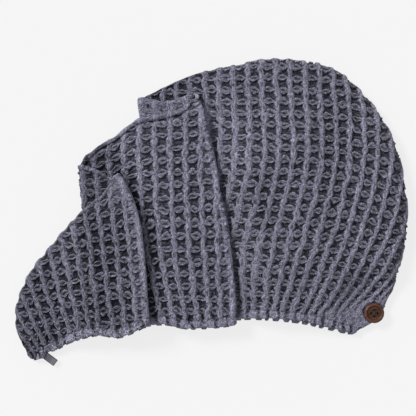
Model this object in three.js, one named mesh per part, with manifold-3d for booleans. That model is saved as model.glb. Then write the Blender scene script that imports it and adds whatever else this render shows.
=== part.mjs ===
// Hair turban towel of waffle cloth, folded in knife pleats and laid flat, in millimetres, +Z up.
// Two mirror-image cloth panels run from the nape at the right to the tail's tip at the left, through four
// folds. They meet along the crown edge and are open along the hem edge, where the hood's mouth is.
import * as THREE from 'three';
import Module from 'manifold-3d';

// Driving sizes of the cloth
const clothLength = 354.6;     // folded cloth along X, from the tail's tip to the hood's back
const clothWidth = 272.7;      // folded cloth along Y, from the tail's tip to the crown's top
const wall = 2.6;              // one panel of waffle cloth
const layerGap = 0.45;         // air between two cloth layers that lie on each other
const pieceGap = 0.3;          // air between neighbouring pieces
const seamGap = 0.4;           // air between a panel and its hem band, along the cloth
const hemWidth = 7.5;          // gathered band along the open edge
const gatherPitch = 8.6;       // from one gather of the hem to the next
const gatherDepth = 0.9;       // how deep the valleys between gathers are
const gatherScallop = 0.8;     // how far the hem's edge draws in at a valley
const dropReach = 55;          // length over which the middle segment comes down beside the first fold
const tailDropReach = 34;      // length over which the tail comes down beside the third fold
const mouthSetback = 2.2;      // how far the raised front hem draws back from the back hem

// The button at the nape and the elastic at the tail's tip
const buttonDiameter = 18;
const buttonThickness = 3.8;
const buttonRimWidth = 2.2;
const buttonDish = 0.9;        // depth of the dished face below the rim
const buttonInset = 5.9;       // from the nape's edge in to the button's centre
const buttonAlong = 0.68;      // the button's place on the nape's edge, as a share from the hem
const holeDiameter = 1.7;
const holeCircle = 4.6;        // diameter of the circle that the four holes sit on
const threadDiameter = 1.0;
const elasticWidth = 6.4;
const elasticThickness = 1.0;
const elasticSlot = 1.2;       // air between the two runs of the folded band
const elasticReach = 11.5;     // how far the loop stands out of the cloth

// Ribs of the cloth, from the open hem to the crown edge. hemX, crownX and bow are shares of clothLength,
// hemY and crownY shares of clothWidth. bow is how far a rib stands off its chord, clockwise of it.
const napeToFirstFold = [
  { hemX: 0.864, hemY: 0.089, crownX: 0.940, crownY: 0.188, bow: 0.014 },
  { hemX: 0.850, hemY: 0.090, crownX: 0.961, crownY: 0.252, bow: 0.013 },
  { hemX: 0.831, hemY: 0.095, crownX: 0.981, crownY: 0.345, bow: 0.015 },
  { hemX: 0.811, hemY: 0.101, crownX: 0.995, crownY: 0.441, bow: 0.020 },
  { hemX: 0.788, hemY: 0.108, crownX: 0.992, crownY: 0.559, bow: 0.023 },
  { hemX: 0.760, hemY: 0.117, crownX: 0.971, crownY: 0.695, bow: 0.025 },
  { hemX: 0.730, hemY: 0.125, crownX: 0.935, crownY: 0.797, bow: 0.028 },
  { hemX: 0.699, hemY: 0.130, crownX: 0.885, crownY: 0.883, bow: 0.030 },
  { hemX: 0.669, hemY: 0.134, crownX: 0.821, crownY: 0.957, bow: 0.030 },
  { hemX: 0.636, hemY: 0.137, crownX: 0.740, crownY: 0.987, bow: 0.028 },
  { hemX: 0.600, hemY: 0.139, crownX: 0.648, crownY: 0.998, bow: 0.023 },
  { hemX: 0.562, hemY: 0.137, crownX: 0.549, crownY: 0.975, bow: 0.015 },
  { hemX: 0.484, hemY: 0.137, crownX: 0.438, crownY: 0.941, bow: 0.005 },
  { hemX: 0.405, hemY: 0.137, crownX: 0.326, crownY: 0.873, bow: 0.000 },
];
const firstToSecondFold = [
  { hemX: 0.405, hemY: 0.137, crownX: 0.326, crownY: 0.873, bow: 0.000 },
  { hemX: 0.473, hemY: 0.137, crownX: 0.385, crownY: 0.858, bow: 0.002 },
  { hemX: 0.544, hemY: 0.120, crownX: 0.444, crownY: 0.886, bow: 0.005 },
];
const secondToThirdFold = [
  { hemX: 0.544, hemY: 0.120, crownX: 0.444, crownY: 0.886, bow: 0.005 },
  { hemX: 0.489, hemY: 0.112, crownX: 0.410, crownY: 0.833, bow: 0.003 },
  { hemX: 0.435, hemY: 0.111, crownX: 0.364, crownY: 0.812, bow: 0.000 },
  { hemX: 0.382, hemY: 0.124, crownX: 0.316, crownY: 0.799, bow: 0.000 },
  { hemX: 0.329, hemY: 0.117, crownX: 0.264, crownY: 0.761, bow: 0.000 },
  { hemX: 0.273, hemY: 0.101, crownX: 0.209, crownY: 0.713, bow: 0.000 },
  { hemX: 0.220, hemY: 0.101, crownX: 0.173, crownY: 0.650, bow: 0.000 },
];
const thirdToFourthFold = [
  { hemX: 0.220, hemY: 0.101, crownX: 0.173, crownY: 0.650, bow: 0.000 },
  { hemX: 0.270, hemY: 0.101, crownX: 0.212, crownY: 0.634, bow: 0.010 },
  { hemX: 0.326, hemY: 0.117, crownX: 0.253, crownY: 0.612, bow: 0.025 },
];
const fourthFoldToTip = [
  { hemX: 0.326, hemY: 0.117, crownX: 0.253, crownY: 0.612, bow: 0.025 },
  { hemX: 0.296, hemY: 0.096, crownX: 0.227, crownY: 0.554, bow: 0.023 },
  { hemX: 0.260, hemY: 0.081, crownX: 0.192, crownY: 0.520, bow: 0.018 },
  { hemX: 0.217, hemY: 0.089, crownX: 0.141, crownY: 0.454, bow: 0.013 },
  { hemX: 0.174, hemY: 0.078, crownX: 0.084, crownY: 0.371, bow: 0.008 },
  { hemX: 0.133, hemY: 0.058, crownX: 0.037, crownY: 0.292, bow: 0.003 },
  { hemX: 0.106, hemY: 0.038, crownX: 0.006, crownY: 0.196, bow: 0.000 },
  { hemX: 0.086, hemY: 0.029, crownX: 0.004, crownY: 0.117, bow: -0.004 },
  { hemX: 0.074, hemY: 0.008, crownX: 0.032, crownY: 0.021, bow: -0.012 },
];

// Segments of the cloth between its folds: each panel's place in the stack, counted from the floor, mesh
// columns from one rib of the table to the next, and whether the segment's hem is hidden in the stack
const segments = [
  { rows: napeToFirstFold, front: 1, back: 0, perRib: 3, hidden: false },
  { rows: firstToSecondFold, front: 2, back: 3, perRib: 2, hidden: true },
  { rows: secondToThirdFold, front: 5, back: 4, perRib: 3, hidden: false },
  { rows: thirdToFourthFold, front: 6, back: 7, perRib: 2, hidden: true },
  { rows: fourthFoldToTip, front: 9, back: 8, perRib: 4, hidden: false },
];
// Which way each fold turns: -1 for a fold at a segment's left, 1 at its right
const foldSides = [-1, 1, -1, 1];

// How far the upper panel stands up between the folds: rise at the middle, radius of the rolled edge, reach
// of the swell from the edge, share of the rise left at the hem, and reach of that lower mouth from the hem
const swells = {
  hood: { rise: 31, edge: 13, reach: 108, mouthShare: 0.5, mouthReach: 70 },
  middle: { rise: 4, edge: 3.5, reach: 30, mouthShare: 0.4, mouthReach: 40 },
  tail: { rise: 7, edge: 5.5, reach: 36, mouthShare: 0.4, mouthReach: 40 },
};
const foldFlat = 45;           // reach over which a swell grows from a fold
const napeFlat = 40;           // reach over which the hood's swell grows from round the button
const napeMargin = 2;          // flat cloth that shows round the button
const tipFlat = 25;            // reach over which the tail's swell grows from its tip

const pitch = wall + layerGap;
const foldReach = 1.5 * pitch + wall / 2;   // from a fold's axis to its outer face
const buttonFace = wall + pitch;            // top of the two panels under the button

function ease(t) {
  const c = Math.min(1, Math.max(0, t));
  return c * c * (3 - 2 * c);
}

// Height of a quarter round of this radius at a distance from its edge
function rollHeight(distance, radius) {
  const d = Math.min(Math.max(distance, 0), radius);
  return Math.sqrt(d * (2 * radius - d));
}

// A table's row at t from 0 to 1, each column a Catmull-Rom spline through the rows
function rowAt(rows, t) {
  const place = Math.min(1, Math.max(0, t)) * (rows.length - 1);
  const k = Math.min(Math.floor(place), rows.length - 2);
  const f = place - k;
  const pick = [k - 1, k, k + 1, k + 2].map((n) => rows[Math.min(Math.max(n, 0), rows.length - 1)]);
  const weights = [
    (-f + 2 * f * f - f * f * f) / 2,
    (2 - 5 * f * f + 3 * f * f * f) / 2,
    (f + 4 * f * f - 3 * f * f * f) / 2,
    (-f * f + f * f * f) / 2,
  ];
  const mix = (name) => pick.reduce((sum, row, n) => sum + row[name] * weights[n], 0);
  return {
    hem: new THREE.Vector2(mix('hemX') * clothLength, mix('hemY') * clothWidth),
    crown: new THREE.Vector2(mix('crownX') * clothLength, mix('crownY') * clothWidth),
    bow: mix('bow') * clothLength,
  };
}

// A point of a rib, v from 0 at the hem to 1 at the crown edge. The bow is greatest at two thirds.
function ribPoint(rib, v) {
  const chord = rib.crown.clone().sub(rib.hem);
  const side = new THREE.Vector2(chord.y, -chord.x).normalize();
  const bulge = v > 0 ? rib.bow * 6.75 * v * v * (1 - v) : 0;
  return rib.hem.clone().addScaledVector(chord, v).addScaledVector(side, bulge);
}

const ribLength = (rib) => rib.hem.distanceTo(rib.crown);

// Folds: the last rib of each segment but the tail's
const foldRibs = foldSides.map((side, n) => rowAt(segments[n].rows, 1));

// X of a fold's axis at a height y of the plan
function foldX(n, y) {
  const rib = foldRibs[n];
  return ribPoint(rib, (y - rib.hem.y) / (rib.crown.y - rib.hem.y)).x;
}

// Crown edge and hem of a segment as polylines of the plan
function edgeLine(rows, v, extra = []) {
  const steps = (rows.length - 1) * 6;
  return [...extra, ...Array.from({ length: steps + 1 }, (_, n) => ribPoint(rowAt(rows, n / steps), v))];
}
const endRib = (rows, t) => Array.from({ length: 9 }, (_, n) => ribPoint(rowAt(rows, t), n / 8));
const hoodEdge = edgeLine(napeToFirstFold, 1, endRib(napeToFirstFold, 0));
const middleEdge = edgeLine(secondToThirdFold, 1);
const tailEdge = edgeLine(fourthFoldToTip, 1);
const tipEnd = endRib(fourthFoldToTip, 1);
const hoodHem = edgeLine(napeToFirstFold, 0);
const middleHem = edgeLine(secondToThirdFold, 0);
const tailHem = edgeLine(fourthFoldToTip, 0);

const lineLength = (line) => line.slice(1).reduce((sum, p, n) => sum + p.distanceTo(line[n]), 0);

// Shortest distance from a point of the plan to a polyline
function distanceTo(line, x, y) {
  let best = Infinity;
  for (let n = 1; n < line.length; n += 1) {
    const ax = line[n - 1].x;
    const ay = line[n - 1].y;
    const bx = line[n].x - ax;
    const by = line[n].y - ay;
    const along = ((x - ax) * bx + (y - ay) * by) / Math.max(bx * bx + by * by, 1e-9);
    const t = Math.min(1, Math.max(0, along));
    best = Math.min(best, Math.hypot(x - ax - t * bx, y - ay - t * by));
  }
  return best;
}

// The button's centre, in from the edge of the nape
const napeRib = rowAt(napeToFirstFold, 0);
const napeChord = napeRib.crown.clone().sub(napeRib.hem).normalize();
const napeInward = new THREE.Vector2(-napeChord.y, napeChord.x);
const buttonCentre = ribPoint(napeRib, buttonAlong).addScaledVector(napeInward, buttonInset);

// Where each swell is allowed: 0 at a fold, at the tip or under the button, 1 away from them
function hoodMask(x, y) {
  const fromFold = ease((x - foldX(1, y)) / foldFlat);
  const fromButton = Math.hypot(x - buttonCentre.x, y - buttonCentre.y) - buttonDiameter / 2 - napeMargin;
  return fromFold * ease(fromButton / napeFlat);
}
function middleMask(x, y) {
  const left = ease((x - foldX(3, y) - foldReach) / foldFlat);
  return left * ease((foldX(1, y) - x) / foldFlat);
}
const tailMask = (x, y) => ease((foldX(3, y) - x) / foldFlat) * ease(distanceTo(tipEnd, x, y) / tipFlat);

// Height that a swell adds to a panel. It rises from the rolled edge inward and is lower at the open hem,
// and its very edge tucks down by half a wall, to stand on the panel below.
function swellAt(swell, mask, edge, hem, x, y) {
  if (mask === 0) return 0;
  const edgeGap = distanceTo(edge, x, y);
  const mouth = swell.mouthShare + (1 - swell.mouthShare) * ease(distanceTo(hem, x, y) / swell.mouthReach);
  const roll = rollHeight(edgeGap, swell.edge);
  const inner = Math.max(swell.rise - swell.edge, 0) * ease(edgeGap / swell.reach);
  const tuck = (1 - roll / swell.edge) * wall / 2;
  return (roll + inner - tuck) * mouth * mask;
}

// Share of the full stack's height that a draped segment keeps beside a fold
const besideFold = (n, reach, x, y) => ease((x - foldX(n, y) + foldReach + reach) / reach);

// Underside of the middle segment, and how much steep ground spreads its layers
const middleGround = (x, y) => 4 * pitch * besideFold(0, dropReach, x, y);
function spread(ground, x, y) {
  const step = 0.5;
  const slopeX = (ground(x + step, y) - ground(x - step, y)) / (2 * step);
  const slopeY = (ground(x, y + step) - ground(x, y - step)) / (2 * step);
  return Math.sqrt(1 + slopeX * slopeX + slopeY * slopeY);
}

// Underside of the tail: on the pleats at its right, on the floor at its left
function tailGround(x, y) {
  const stack = middleGround(x, y) + 4 * pitch * spread(middleGround, x, y);
  return stack * besideFold(2, tailDropReach, x, y);
}

// Middle height of a panel in a segment, above the floor
function sheetHeight(segment, panel, x, y) {
  const place = segments[segment][panel];
  const level = wall / 2 + place * pitch;
  if (segment === 0 && panel === 'front') {
    return level + swellAt(swells.hood, hoodMask(x, y), hoodEdge, hoodHem, x, y);
  }
  if (segment <= 1) return level;
  if (segment <= 3) {
    const height = middleGround(x, y) + (level - 4 * pitch) * spread(middleGround, x, y);
    if (segment === 3 || panel === 'back') return height;
    return height + swellAt(swells.middle, middleMask(x, y), middleEdge, middleHem, x, y);
  }
  const height = tailGround(x, y) + (level - 8 * pitch) * spread(tailGround, x, y);
  if (panel === 'back') return height;
  return height + swellAt(swells.tail, tailMask(x, y), tailEdge, tailHem, x, y);
}

// A point of a panel in a segment: s along the cloth, and a distance from the hem along the rib
function sheetPoint(segment, panel, s, fromHem) {
  const rib = rowAt(segments[segment].rows, s);
  const plan = ribPoint(rib, fromHem / ribLength(rib));
  if (segment === 0 && panel === 'front') {
    const mask = hoodMask(plan.x, plan.y);
    plan.y += mouthSetback * mask * (1 - ease(fromHem / swells.hood.mouthReach));
  }
  return new THREE.Vector3(plan.x, plan.y, sheetHeight(segment, panel, plan.x, plan.y));
}

// A point on a panel's turn round a fold, turn going from 0 to 1
function foldPoint(fold, panel, turn, fromHem) {
  const rib = foldRibs[fold];
  const v = fromHem / ribLength(rib);
  const step = 1e-3;
  const axis = ribPoint(rib, v);
  const along = ribPoint(rib, v + step).sub(ribPoint(rib, v - step)).normalize();
  const out = new THREE.Vector2(along.y, -along.x).multiplyScalar(foldSides[fold]);
  const low = sheetHeight(fold, panel, axis.x, axis.y);
  const high = sheetHeight(fold + 1, panel, axis.x, axis.y);
  const radius = (high - low) / 2;
  const reach = Math.abs(segments[fold][panel] - segments[fold + 1][panel]) * pitch / 2;
  const plan = axis.addScaledVector(out, reach * Math.sin(Math.PI * turn));
  return new THREE.Vector3(plan.x, plan.y, low + radius - radius * Math.cos(Math.PI * turn));
}

// Columns of a panel from the nape to the tip: places on its segments with its turns between them
function panelColumns(panel, columnsOf, turnSteps) {
  const columns = [];
  segments.forEach((segment, n) => {
    const count = columnsOf(segment);
    for (let c = 0; c <= count; c += 1) {
      columns.push({ at: (fromHem, nudge) => sheetPoint(n, panel, c / count + nudge, fromHem),
        rib: rowAt(segment.rows, c / count), nudge: 1e-3, first: c === 0, last: c === count });
    }
    if (n === segments.length - 1) return;
    for (let c = 1; c < turnSteps; c += 1) {
      columns.push({ at: (fromHem, nudge) => foldPoint(n, panel, c / turnSteps + nudge, fromHem),
        rib: foldRibs[n], nudge: 1e-3, first: false, last: false });
    }
  });
  return columns;
}

// Middle point and unit normal of a column at a distance from the hem
function frameAt(column, fromHem) {
  const before = column.at(fromHem, column.first ? 0 : -column.nudge);
  const after = column.at(fromHem, column.last ? 0 : column.nudge);
  const reach = 0.05;
  const total = ribLength(column.rib);
  const lower = column.at(Math.max(fromHem - reach, 0), 0);
  const upper = column.at(Math.min(fromHem + reach, total), 0);
  const normal = after.sub(before).cross(upper.sub(lower)).normalize();
  return { point: column.at(fromHem, 0), normal };
}

// A closed solid between two faces of a grid of points. grid[i][j] holds the two points of a place.
function solidFromGrid(grid) {
  const rows = grid[0].length;
  const positions = [];
  grid.forEach((column) => column.forEach((pair) => pair.forEach((p) => positions.push(p.x, p.y, p.z))));
  const index = (i, j, face) => (i * rows + j) * 2 + face;
  const faces = [];
  const quad = (a, b, c, d) => faces.push(a, b, c, a, c, d);
  for (let i = 0; i + 1 < grid.length; i += 1) {
    for (let j = 0; j + 1 < rows; j += 1) {
      quad(index(i, j, 0), index(i + 1, j, 0), index(i + 1, j + 1, 0), index(i, j + 1, 0));
      quad(index(i, j, 1), index(i, j + 1, 1), index(i + 1, j + 1, 1), index(i + 1, j, 1));
    }
    quad(index(i, 0, 0), index(i, 0, 1), index(i + 1, 0, 1), index(i + 1, 0, 0));
    quad(index(i, rows - 1, 0), index(i + 1, rows - 1, 0), index(i + 1, rows - 1, 1), index(i, rows - 1, 1));
  }
  const end = grid.length - 1;
  for (let j = 0; j + 1 < rows; j += 1) {
    quad(index(0, j, 0), index(0, j + 1, 0), index(0, j + 1, 1), index(0, j, 1));
    quad(index(end, j, 0), index(end, j, 1), index(end, j + 1, 1), index(end, j + 1, 0));
  }
  const geometry = new THREE.BufferGeometry();
  geometry.setAttribute('position', new THREE.Float32BufferAttribute(positions, 3));
  geometry.setIndex(faces);
  geometry.computeVertexNormals();
  return geometry;
}

// A panel's waffle cloth, from the hem band to the crown edge. Rows crowd towards the rolled crown edge.
function panelGeometry(panel, rowShares) {
  const columns = panelColumns(panel, (segment) => segment.perRib * (segment.rows.length - 1), 6);
  return solidFromGrid(columns.map((column) => {
    const start = hemWidth + seamGap;
    const total = ribLength(column.rib);
    return rowShares.map((share) => {
      const { point, normal } = frameAt(column, start + (total - start) * share);
      return [1, -1].map((side) => point.clone().addScaledVector(normal, side * wall / 2));
    });
  }));
}

// A hem's gathered band: its outer face and its edge draw in between the gathers
function hemGeometry(panel) {
  const perGather = 4;
  const columnsOf = (segment) => {
    if (segment.hidden) return perGather;
    return Math.round(lineLength(edgeLine(segment.rows, 0)) / gatherPitch) * perGather;
  };
  const columns = panelColumns(panel, columnsOf, 4);
  return solidFromGrid(columns.map((column, n) => {
    const valley = (1 - Math.cos(2 * Math.PI * n / perGather)) / 2;
    return [0, hemWidth].map((fromHem) => {
      const { point, normal } = frameAt(column, fromHem === 0 ? gatherScallop * valley : fromHem);
      return [1, -1].map((side) => {
        const depth = wall / 2 - gatherDepth * valley / 2;
        return point.clone().addScaledVector(normal, side * depth);
      });
    });
  }));
}

// Turned wooden button: a raised rim round a dished face, with four holes through it
const wasm = await Module();
wasm.setup();

function toManifold(geometry) {
  const position = geometry.getAttribute('position');
  const seen = new Map();
  const vertices = [];
  const remap = Array.from({ length: position.count }, (_, n) => {
    const point = [position.getX(n), position.getY(n), position.getZ(n)];
    const key = point.map((value) => Math.round(value * 1e5)).join();
    if (!seen.has(key)) {
      seen.set(key, vertices.length / 3);
      vertices.push(...point);
    }
    return seen.get(key);
  });
  const corners = [];
  const source = geometry.index ? Array.from(geometry.index.array) : remap.map((_, n) => n);
  for (let n = 0; n < source.length; n += 3) {
    const [a, b, c] = [remap[source[n]], remap[source[n + 1]], remap[source[n + 2]]];
    if (a !== b && b !== c && c !== a) corners.push(a, b, c);
  }
  return new wasm.Manifold(new wasm.Mesh({
    numProp: 3,
    vertProperties: new Float32Array(vertices),
    triVerts: new Uint32Array(corners),
  }));
}

function fromManifold(solid) {
  const mesh = solid.getMesh();
  const geometry = new THREE.BufferGeometry();
  geometry.setAttribute('position', new THREE.Float32BufferAttribute(mesh.vertProperties, 3));
  geometry.setIndex(Array.from(mesh.triVerts));
  geometry.computeVertexNormals();
  return geometry;
}

const holeAngles = [0, 1, 2, 3].map((n) => n * Math.PI / 2);
const holePlace = (angle) => [Math.cos(angle) * holeCircle / 2, Math.sin(angle) * holeCircle / 2];

function uprightCylinder(diameter, height, sides, [x, y], bottom) {
  const cylinder = new THREE.CylinderGeometry(diameter / 2, diameter / 2, height, sides);
  cylinder.rotateX(Math.PI / 2);
  cylinder.translate(x, y, bottom + height / 2);
  return toManifold(cylinder);
}

function buttonGeometry() {
  const outer = buttonDiameter / 2;
  const chamfer = 0.8;
  const dishFloor = buttonThickness - buttonDish;
  const profile = [
    [0, 0], [outer - 2 * chamfer, 0], [outer - chamfer / 2, chamfer / 2], [outer, 2 * chamfer],
    [outer - chamfer / 4, buttonThickness - chamfer / 2], [outer - chamfer, buttonThickness],
    [outer - buttonRimWidth, buttonThickness - chamfer / 4],
    [outer - 1.5 * buttonRimWidth, dishFloor], [0, dishFloor],
  ].map(([radius, height]) => new THREE.Vector2(radius, height));
  const lathe = new THREE.LatheGeometry(profile, 32);
  lathe.rotateX(Math.PI / 2);
  let body = toManifold(lathe);
  for (const angle of holeAngles) {
    const through = 2 * buttonThickness;
    body = body.subtract(uprightCylinder(holeDiameter, through, 10, holePlace(angle), -through / 4));
  }
  return fromManifold(body);
}

// Thread: two bars crossing over the dish, each with a leg down through a hole at either end
function threadGeometry() {
  const barBottom = buttonThickness - buttonDish + pieceGap;
  const top = barBottom + threadDiameter;
  let body = null;
  const add = (piece) => { body = body ? body.add(piece) : piece; };
  for (const angle of holeAngles) add(uprightCylinder(threadDiameter, top, 8, holePlace(angle), 0));
  for (const angle of holeAngles.slice(0, 2)) {
    const bar = new THREE.BoxGeometry(holeCircle, threadDiameter * 0.9, threadDiameter);
    bar.rotateZ(angle);
    bar.translate(0, 0, barBottom + threadDiameter / 2);
    add(toManifold(bar));
  }
  return fromManifold(body);
}

// Flat elastic folded end to end: a hairpin seen from its side, as wide as the band
const tipHems = [fourthFoldToTip.length - 2, fourthFoldToTip.length - 1].map((n) => (
  rowAt(fourthFoldToTip, n / (fourthFoldToTip.length - 1)).hem));

function elasticGeometry() {
  const outer = elasticThickness + elasticSlot / 2;
  const inner = elasticSlot / 2;
  const straight = elasticReach - outer;
  const shape = new THREE.Shape();
  shape.moveTo(0, -outer);
  shape.lineTo(straight, -outer);
  shape.absarc(straight, 0, outer, -Math.PI / 2, Math.PI / 2, false);
  shape.lineTo(0, outer);
  shape.lineTo(0, inner);
  shape.lineTo(straight, inner);
  shape.absarc(straight, 0, inner, Math.PI / 2, -Math.PI / 2, true);
  shape.lineTo(0, -inner);
  const geometry = new THREE.ExtrudeGeometry(shape, {
    depth: elasticWidth, bevelEnabled: false, curveSegments: 8,
  });
  geometry.rotateX(Math.PI / 2);
  geometry.translate(0, elasticWidth / 2, 0);
  return geometry;
}

// Materials
const cloth = (shade) => new THREE.MeshStandardMaterial({ color: shade, roughness: 0.95, metalness: 0 });
const panelCloth = '#6f6e80';
const backCloth = '#676678';
const hemCloth = '#807f92';
const wood = new THREE.MeshStandardMaterial({ color: '#4b332c', roughness: 0.45, metalness: 0 });
const thread = new THREE.MeshStandardMaterial({ color: '#2a2320', roughness: 0.8, metalness: 0 });
const elastic = new THREE.MeshStandardMaterial({ color: '#77767c', roughness: 0.85, metalness: 0 });

// Pieces
const frontRows = [0, 0.14, 0.32, 0.52, 0.7, 0.84, 0.93, 0.975, 0.994, 1];
const backRows = [0, 0.2, 0.4, 0.6, 0.8, 1];
const towel = new THREE.Group();

function addPiece(name, geometry, material) {
  const mesh = new THREE.Mesh(geometry, material);
  mesh.name = name;
  towel.add(mesh);
  return mesh;
}

addPiece('front_panel', panelGeometry('front', frontRows), cloth(panelCloth));
addPiece('back_panel', panelGeometry('back', backRows), cloth(backCloth));
addPiece('front_hem', hemGeometry('front'), cloth(hemCloth));
addPiece('back_hem', hemGeometry('back'), cloth(hemCloth));
const button = addPiece('button', buttonGeometry(), wood);
const buttonThread = addPiece('button_thread', threadGeometry(), thread);
[button, buttonThread].forEach((mesh) => {
  mesh.position.set(buttonCentre.x, buttonCentre.y, buttonFace + pieceGap);
});
const elasticLoop = addPiece('elastic_loop', elasticGeometry(), elastic);
const tipEdge = tipHems[1].clone().sub(tipHems[0]).normalize();
const elasticOut = new THREE.Vector2(-tipEdge.y, tipEdge.x);
const elasticRoot = tipHems[0].clone().add(tipHems[1]).multiplyScalar(0.5).addScaledVector(elasticOut, pieceGap);
elasticLoop.position.set(elasticRoot.x, elasticRoot.y, wall + layerGap / 2);
elasticLoop.rotation.z = Math.atan2(elasticOut.y, elasticOut.x);

// The middle of the whole towel's underside is the origin
towel.updateMatrixWorld(true);
const bounds = new THREE.Box3().setFromObject(towel, true);
const centre = bounds.getCenter(new THREE.Vector3());
towel.position.set(-centre.x, -centre.y, -bounds.min.z);

export default towel;
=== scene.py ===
import math

import bpy
import numpy as np
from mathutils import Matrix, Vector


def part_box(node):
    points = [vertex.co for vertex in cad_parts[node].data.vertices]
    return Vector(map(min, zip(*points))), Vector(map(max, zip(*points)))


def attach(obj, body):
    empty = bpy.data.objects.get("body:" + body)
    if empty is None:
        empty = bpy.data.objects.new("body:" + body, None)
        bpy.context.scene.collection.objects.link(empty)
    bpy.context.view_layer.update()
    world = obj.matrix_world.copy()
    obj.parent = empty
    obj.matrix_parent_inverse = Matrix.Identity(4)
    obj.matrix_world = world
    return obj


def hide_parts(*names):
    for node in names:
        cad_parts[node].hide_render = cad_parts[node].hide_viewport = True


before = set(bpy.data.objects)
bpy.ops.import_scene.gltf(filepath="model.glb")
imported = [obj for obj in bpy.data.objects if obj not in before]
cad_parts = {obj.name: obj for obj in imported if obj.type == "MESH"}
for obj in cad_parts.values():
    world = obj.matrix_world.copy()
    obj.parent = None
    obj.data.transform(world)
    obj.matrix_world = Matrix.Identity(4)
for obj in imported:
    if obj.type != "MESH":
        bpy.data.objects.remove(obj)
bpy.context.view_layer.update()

print("towel: frame loaded")

metre = 0.001  # everything below is worked out in millimetres

# Cloth: sizes in mm, the same as the solids have
cloth = {
    "length": 354.6,      # folded, along X, from the tail's tip to the hood's back
    "width": 272.7,       # folded, along Y
    "wall": 2.6,
    "layerGap": 0.45,     # air between two layers
    "pieceGap": 0.3,
    "hemWidth": 7.5,
    "dropReach": 55,      # length over which the middle comes down beside the first fold
    "tailDropReach": 34,  # length over which the tail comes down beside the third fold
    "mouthSetback": 2.2,  # how far the raised front hem draws back
    "foldFlat": 45,
    "napeFlat": 40,
    "napeMargin": 2,
    "tipFlat": 25,
}

# Ribs from the open hem to the crown edge, as shares of the folded size: hemX, hemY, crownX,
# crownY, bow
napeToFirstFold = np.array([
    [0.864, 0.089, 0.940, 0.188, 0.014],
    [0.850, 0.090, 0.961, 0.252, 0.013],
    [0.831, 0.095, 0.981, 0.345, 0.015],
    [0.811, 0.101, 0.995, 0.441, 0.020],
    [0.788, 0.108, 0.992, 0.559, 0.023],
    [0.760, 0.117, 0.971, 0.695, 0.025],
    [0.730, 0.125, 0.935, 0.797, 0.028],
    [0.699, 0.130, 0.885, 0.883, 0.030],
    [0.669, 0.134, 0.821, 0.957, 0.030],
    [0.636, 0.137, 0.740, 0.987, 0.028],
    [0.600, 0.139, 0.648, 0.998, 0.023],
    [0.562, 0.137, 0.549, 0.975, 0.015],
    [0.484, 0.137, 0.438, 0.941, 0.005],
    [0.405, 0.137, 0.326, 0.873, 0.000],
])
firstToSecondFold = np.array([
    [0.405, 0.137, 0.326, 0.873, 0.000],
    [0.473, 0.137, 0.385, 0.858, 0.002],
    [0.544, 0.120, 0.444, 0.886, 0.005],
])
secondToThirdFold = np.array([
    [0.544, 0.120, 0.444, 0.886, 0.005],
    [0.489, 0.112, 0.410, 0.833, 0.003],
    [0.435, 0.111, 0.364, 0.812, 0.000],
    [0.382, 0.124, 0.316, 0.799, 0.000],
    [0.329, 0.117, 0.264, 0.761, 0.000],
    [0.273, 0.101, 0.209, 0.713, 0.000],
    [0.220, 0.101, 0.173, 0.650, 0.000],
])
thirdToFourthFold = np.array([
    [0.220, 0.101, 0.173, 0.650, 0.000],
    [0.270, 0.101, 0.212, 0.634, 0.010],
    [0.326, 0.117, 0.253, 0.612, 0.025],
])
fourthFoldToTip = np.array([
    [0.326, 0.117, 0.253, 0.612, 0.025],
    [0.296, 0.096, 0.227, 0.554, 0.023],
    [0.260, 0.081, 0.192, 0.520, 0.018],
    [0.217, 0.089, 0.141, 0.454, 0.013],
    [0.174, 0.078, 0.084, 0.371, 0.008],
    [0.133, 0.058, 0.037, 0.292, 0.003],
    [0.106, 0.038, 0.006, 0.196, 0.000],
    [0.086, 0.029, 0.004, 0.117, -0.004],
    [0.074, 0.008, 0.032, 0.021, -0.012],
])

# Segments between the folds: their rows, and each panel's place in the stack, counted from the
# floor
segments = [
    {"rows": napeToFirstFold, "front": 1, "back": 0},
    {"rows": firstToSecondFold, "front": 2, "back": 3},
    {"rows": secondToThirdFold, "front": 5, "back": 4},
    {"rows": thirdToFourthFold, "front": 6, "back": 7},
    {"rows": fourthFoldToTip, "front": 9, "back": 8},
]
foldSides = [-1, 1, -1, 1]  # which way each fold turns: -1 at a segment's left, 1 at its right

# How the upper panel stands up between the folds: rise, radius of the rolled edge, reach of the
# swell from the edge, share of the rise left at the hem, and reach of that lower mouth
swells = {
    "hood": {"rise": 31, "edge": 13, "reach": 108, "mouthShare": 0.5, "mouthReach": 70},
    "middle": {"rise": 4, "edge": 3.5, "reach": 30, "mouthShare": 0.4, "mouthReach": 40},
    "tail": {"rise": 7, "edge": 5.5, "reach": 36, "mouthShare": 0.4, "mouthReach": 40},
}

# Places in the photograph's pixels tie the cells and the folds to the cloth
photo = {"mmPerPixel": 0.9, "left": 14.5, "bottom": 361.5, "width": 416}

pitch = cloth["wall"] + cloth["layerGap"]
foldReach = 1.5 * pitch + cloth["wall"] / 2
plainSize = np.array([cloth["length"], cloth["width"]])


# t²(3 - 2t), held between 0 and 1
def ease(t):
    t = np.clip(t, 0, 1)
    return t * t * (3 - 2 * t)


# ease from the span's start, over its width
def ramp(value, span):
    return ease((value - span[0]) / span[1])


# ease from 0 at low to 1 at high
def smoothStep(low, high, value):
    return ease((value - low) / (high - low))


# exp(-(d/width)²)
def bell(distance, width):
    return np.exp(-((distance / width) ** 2))


# exp(-d/reach)
def fade(distance, reach):
    return np.exp(-distance / reach)


# Height of a quarter round: the root of d(2r - d)
def rollHeight(distance, radius):
    d = np.clip(distance, 0, radius)
    return np.sqrt(d * (2 * radius - d))


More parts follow.
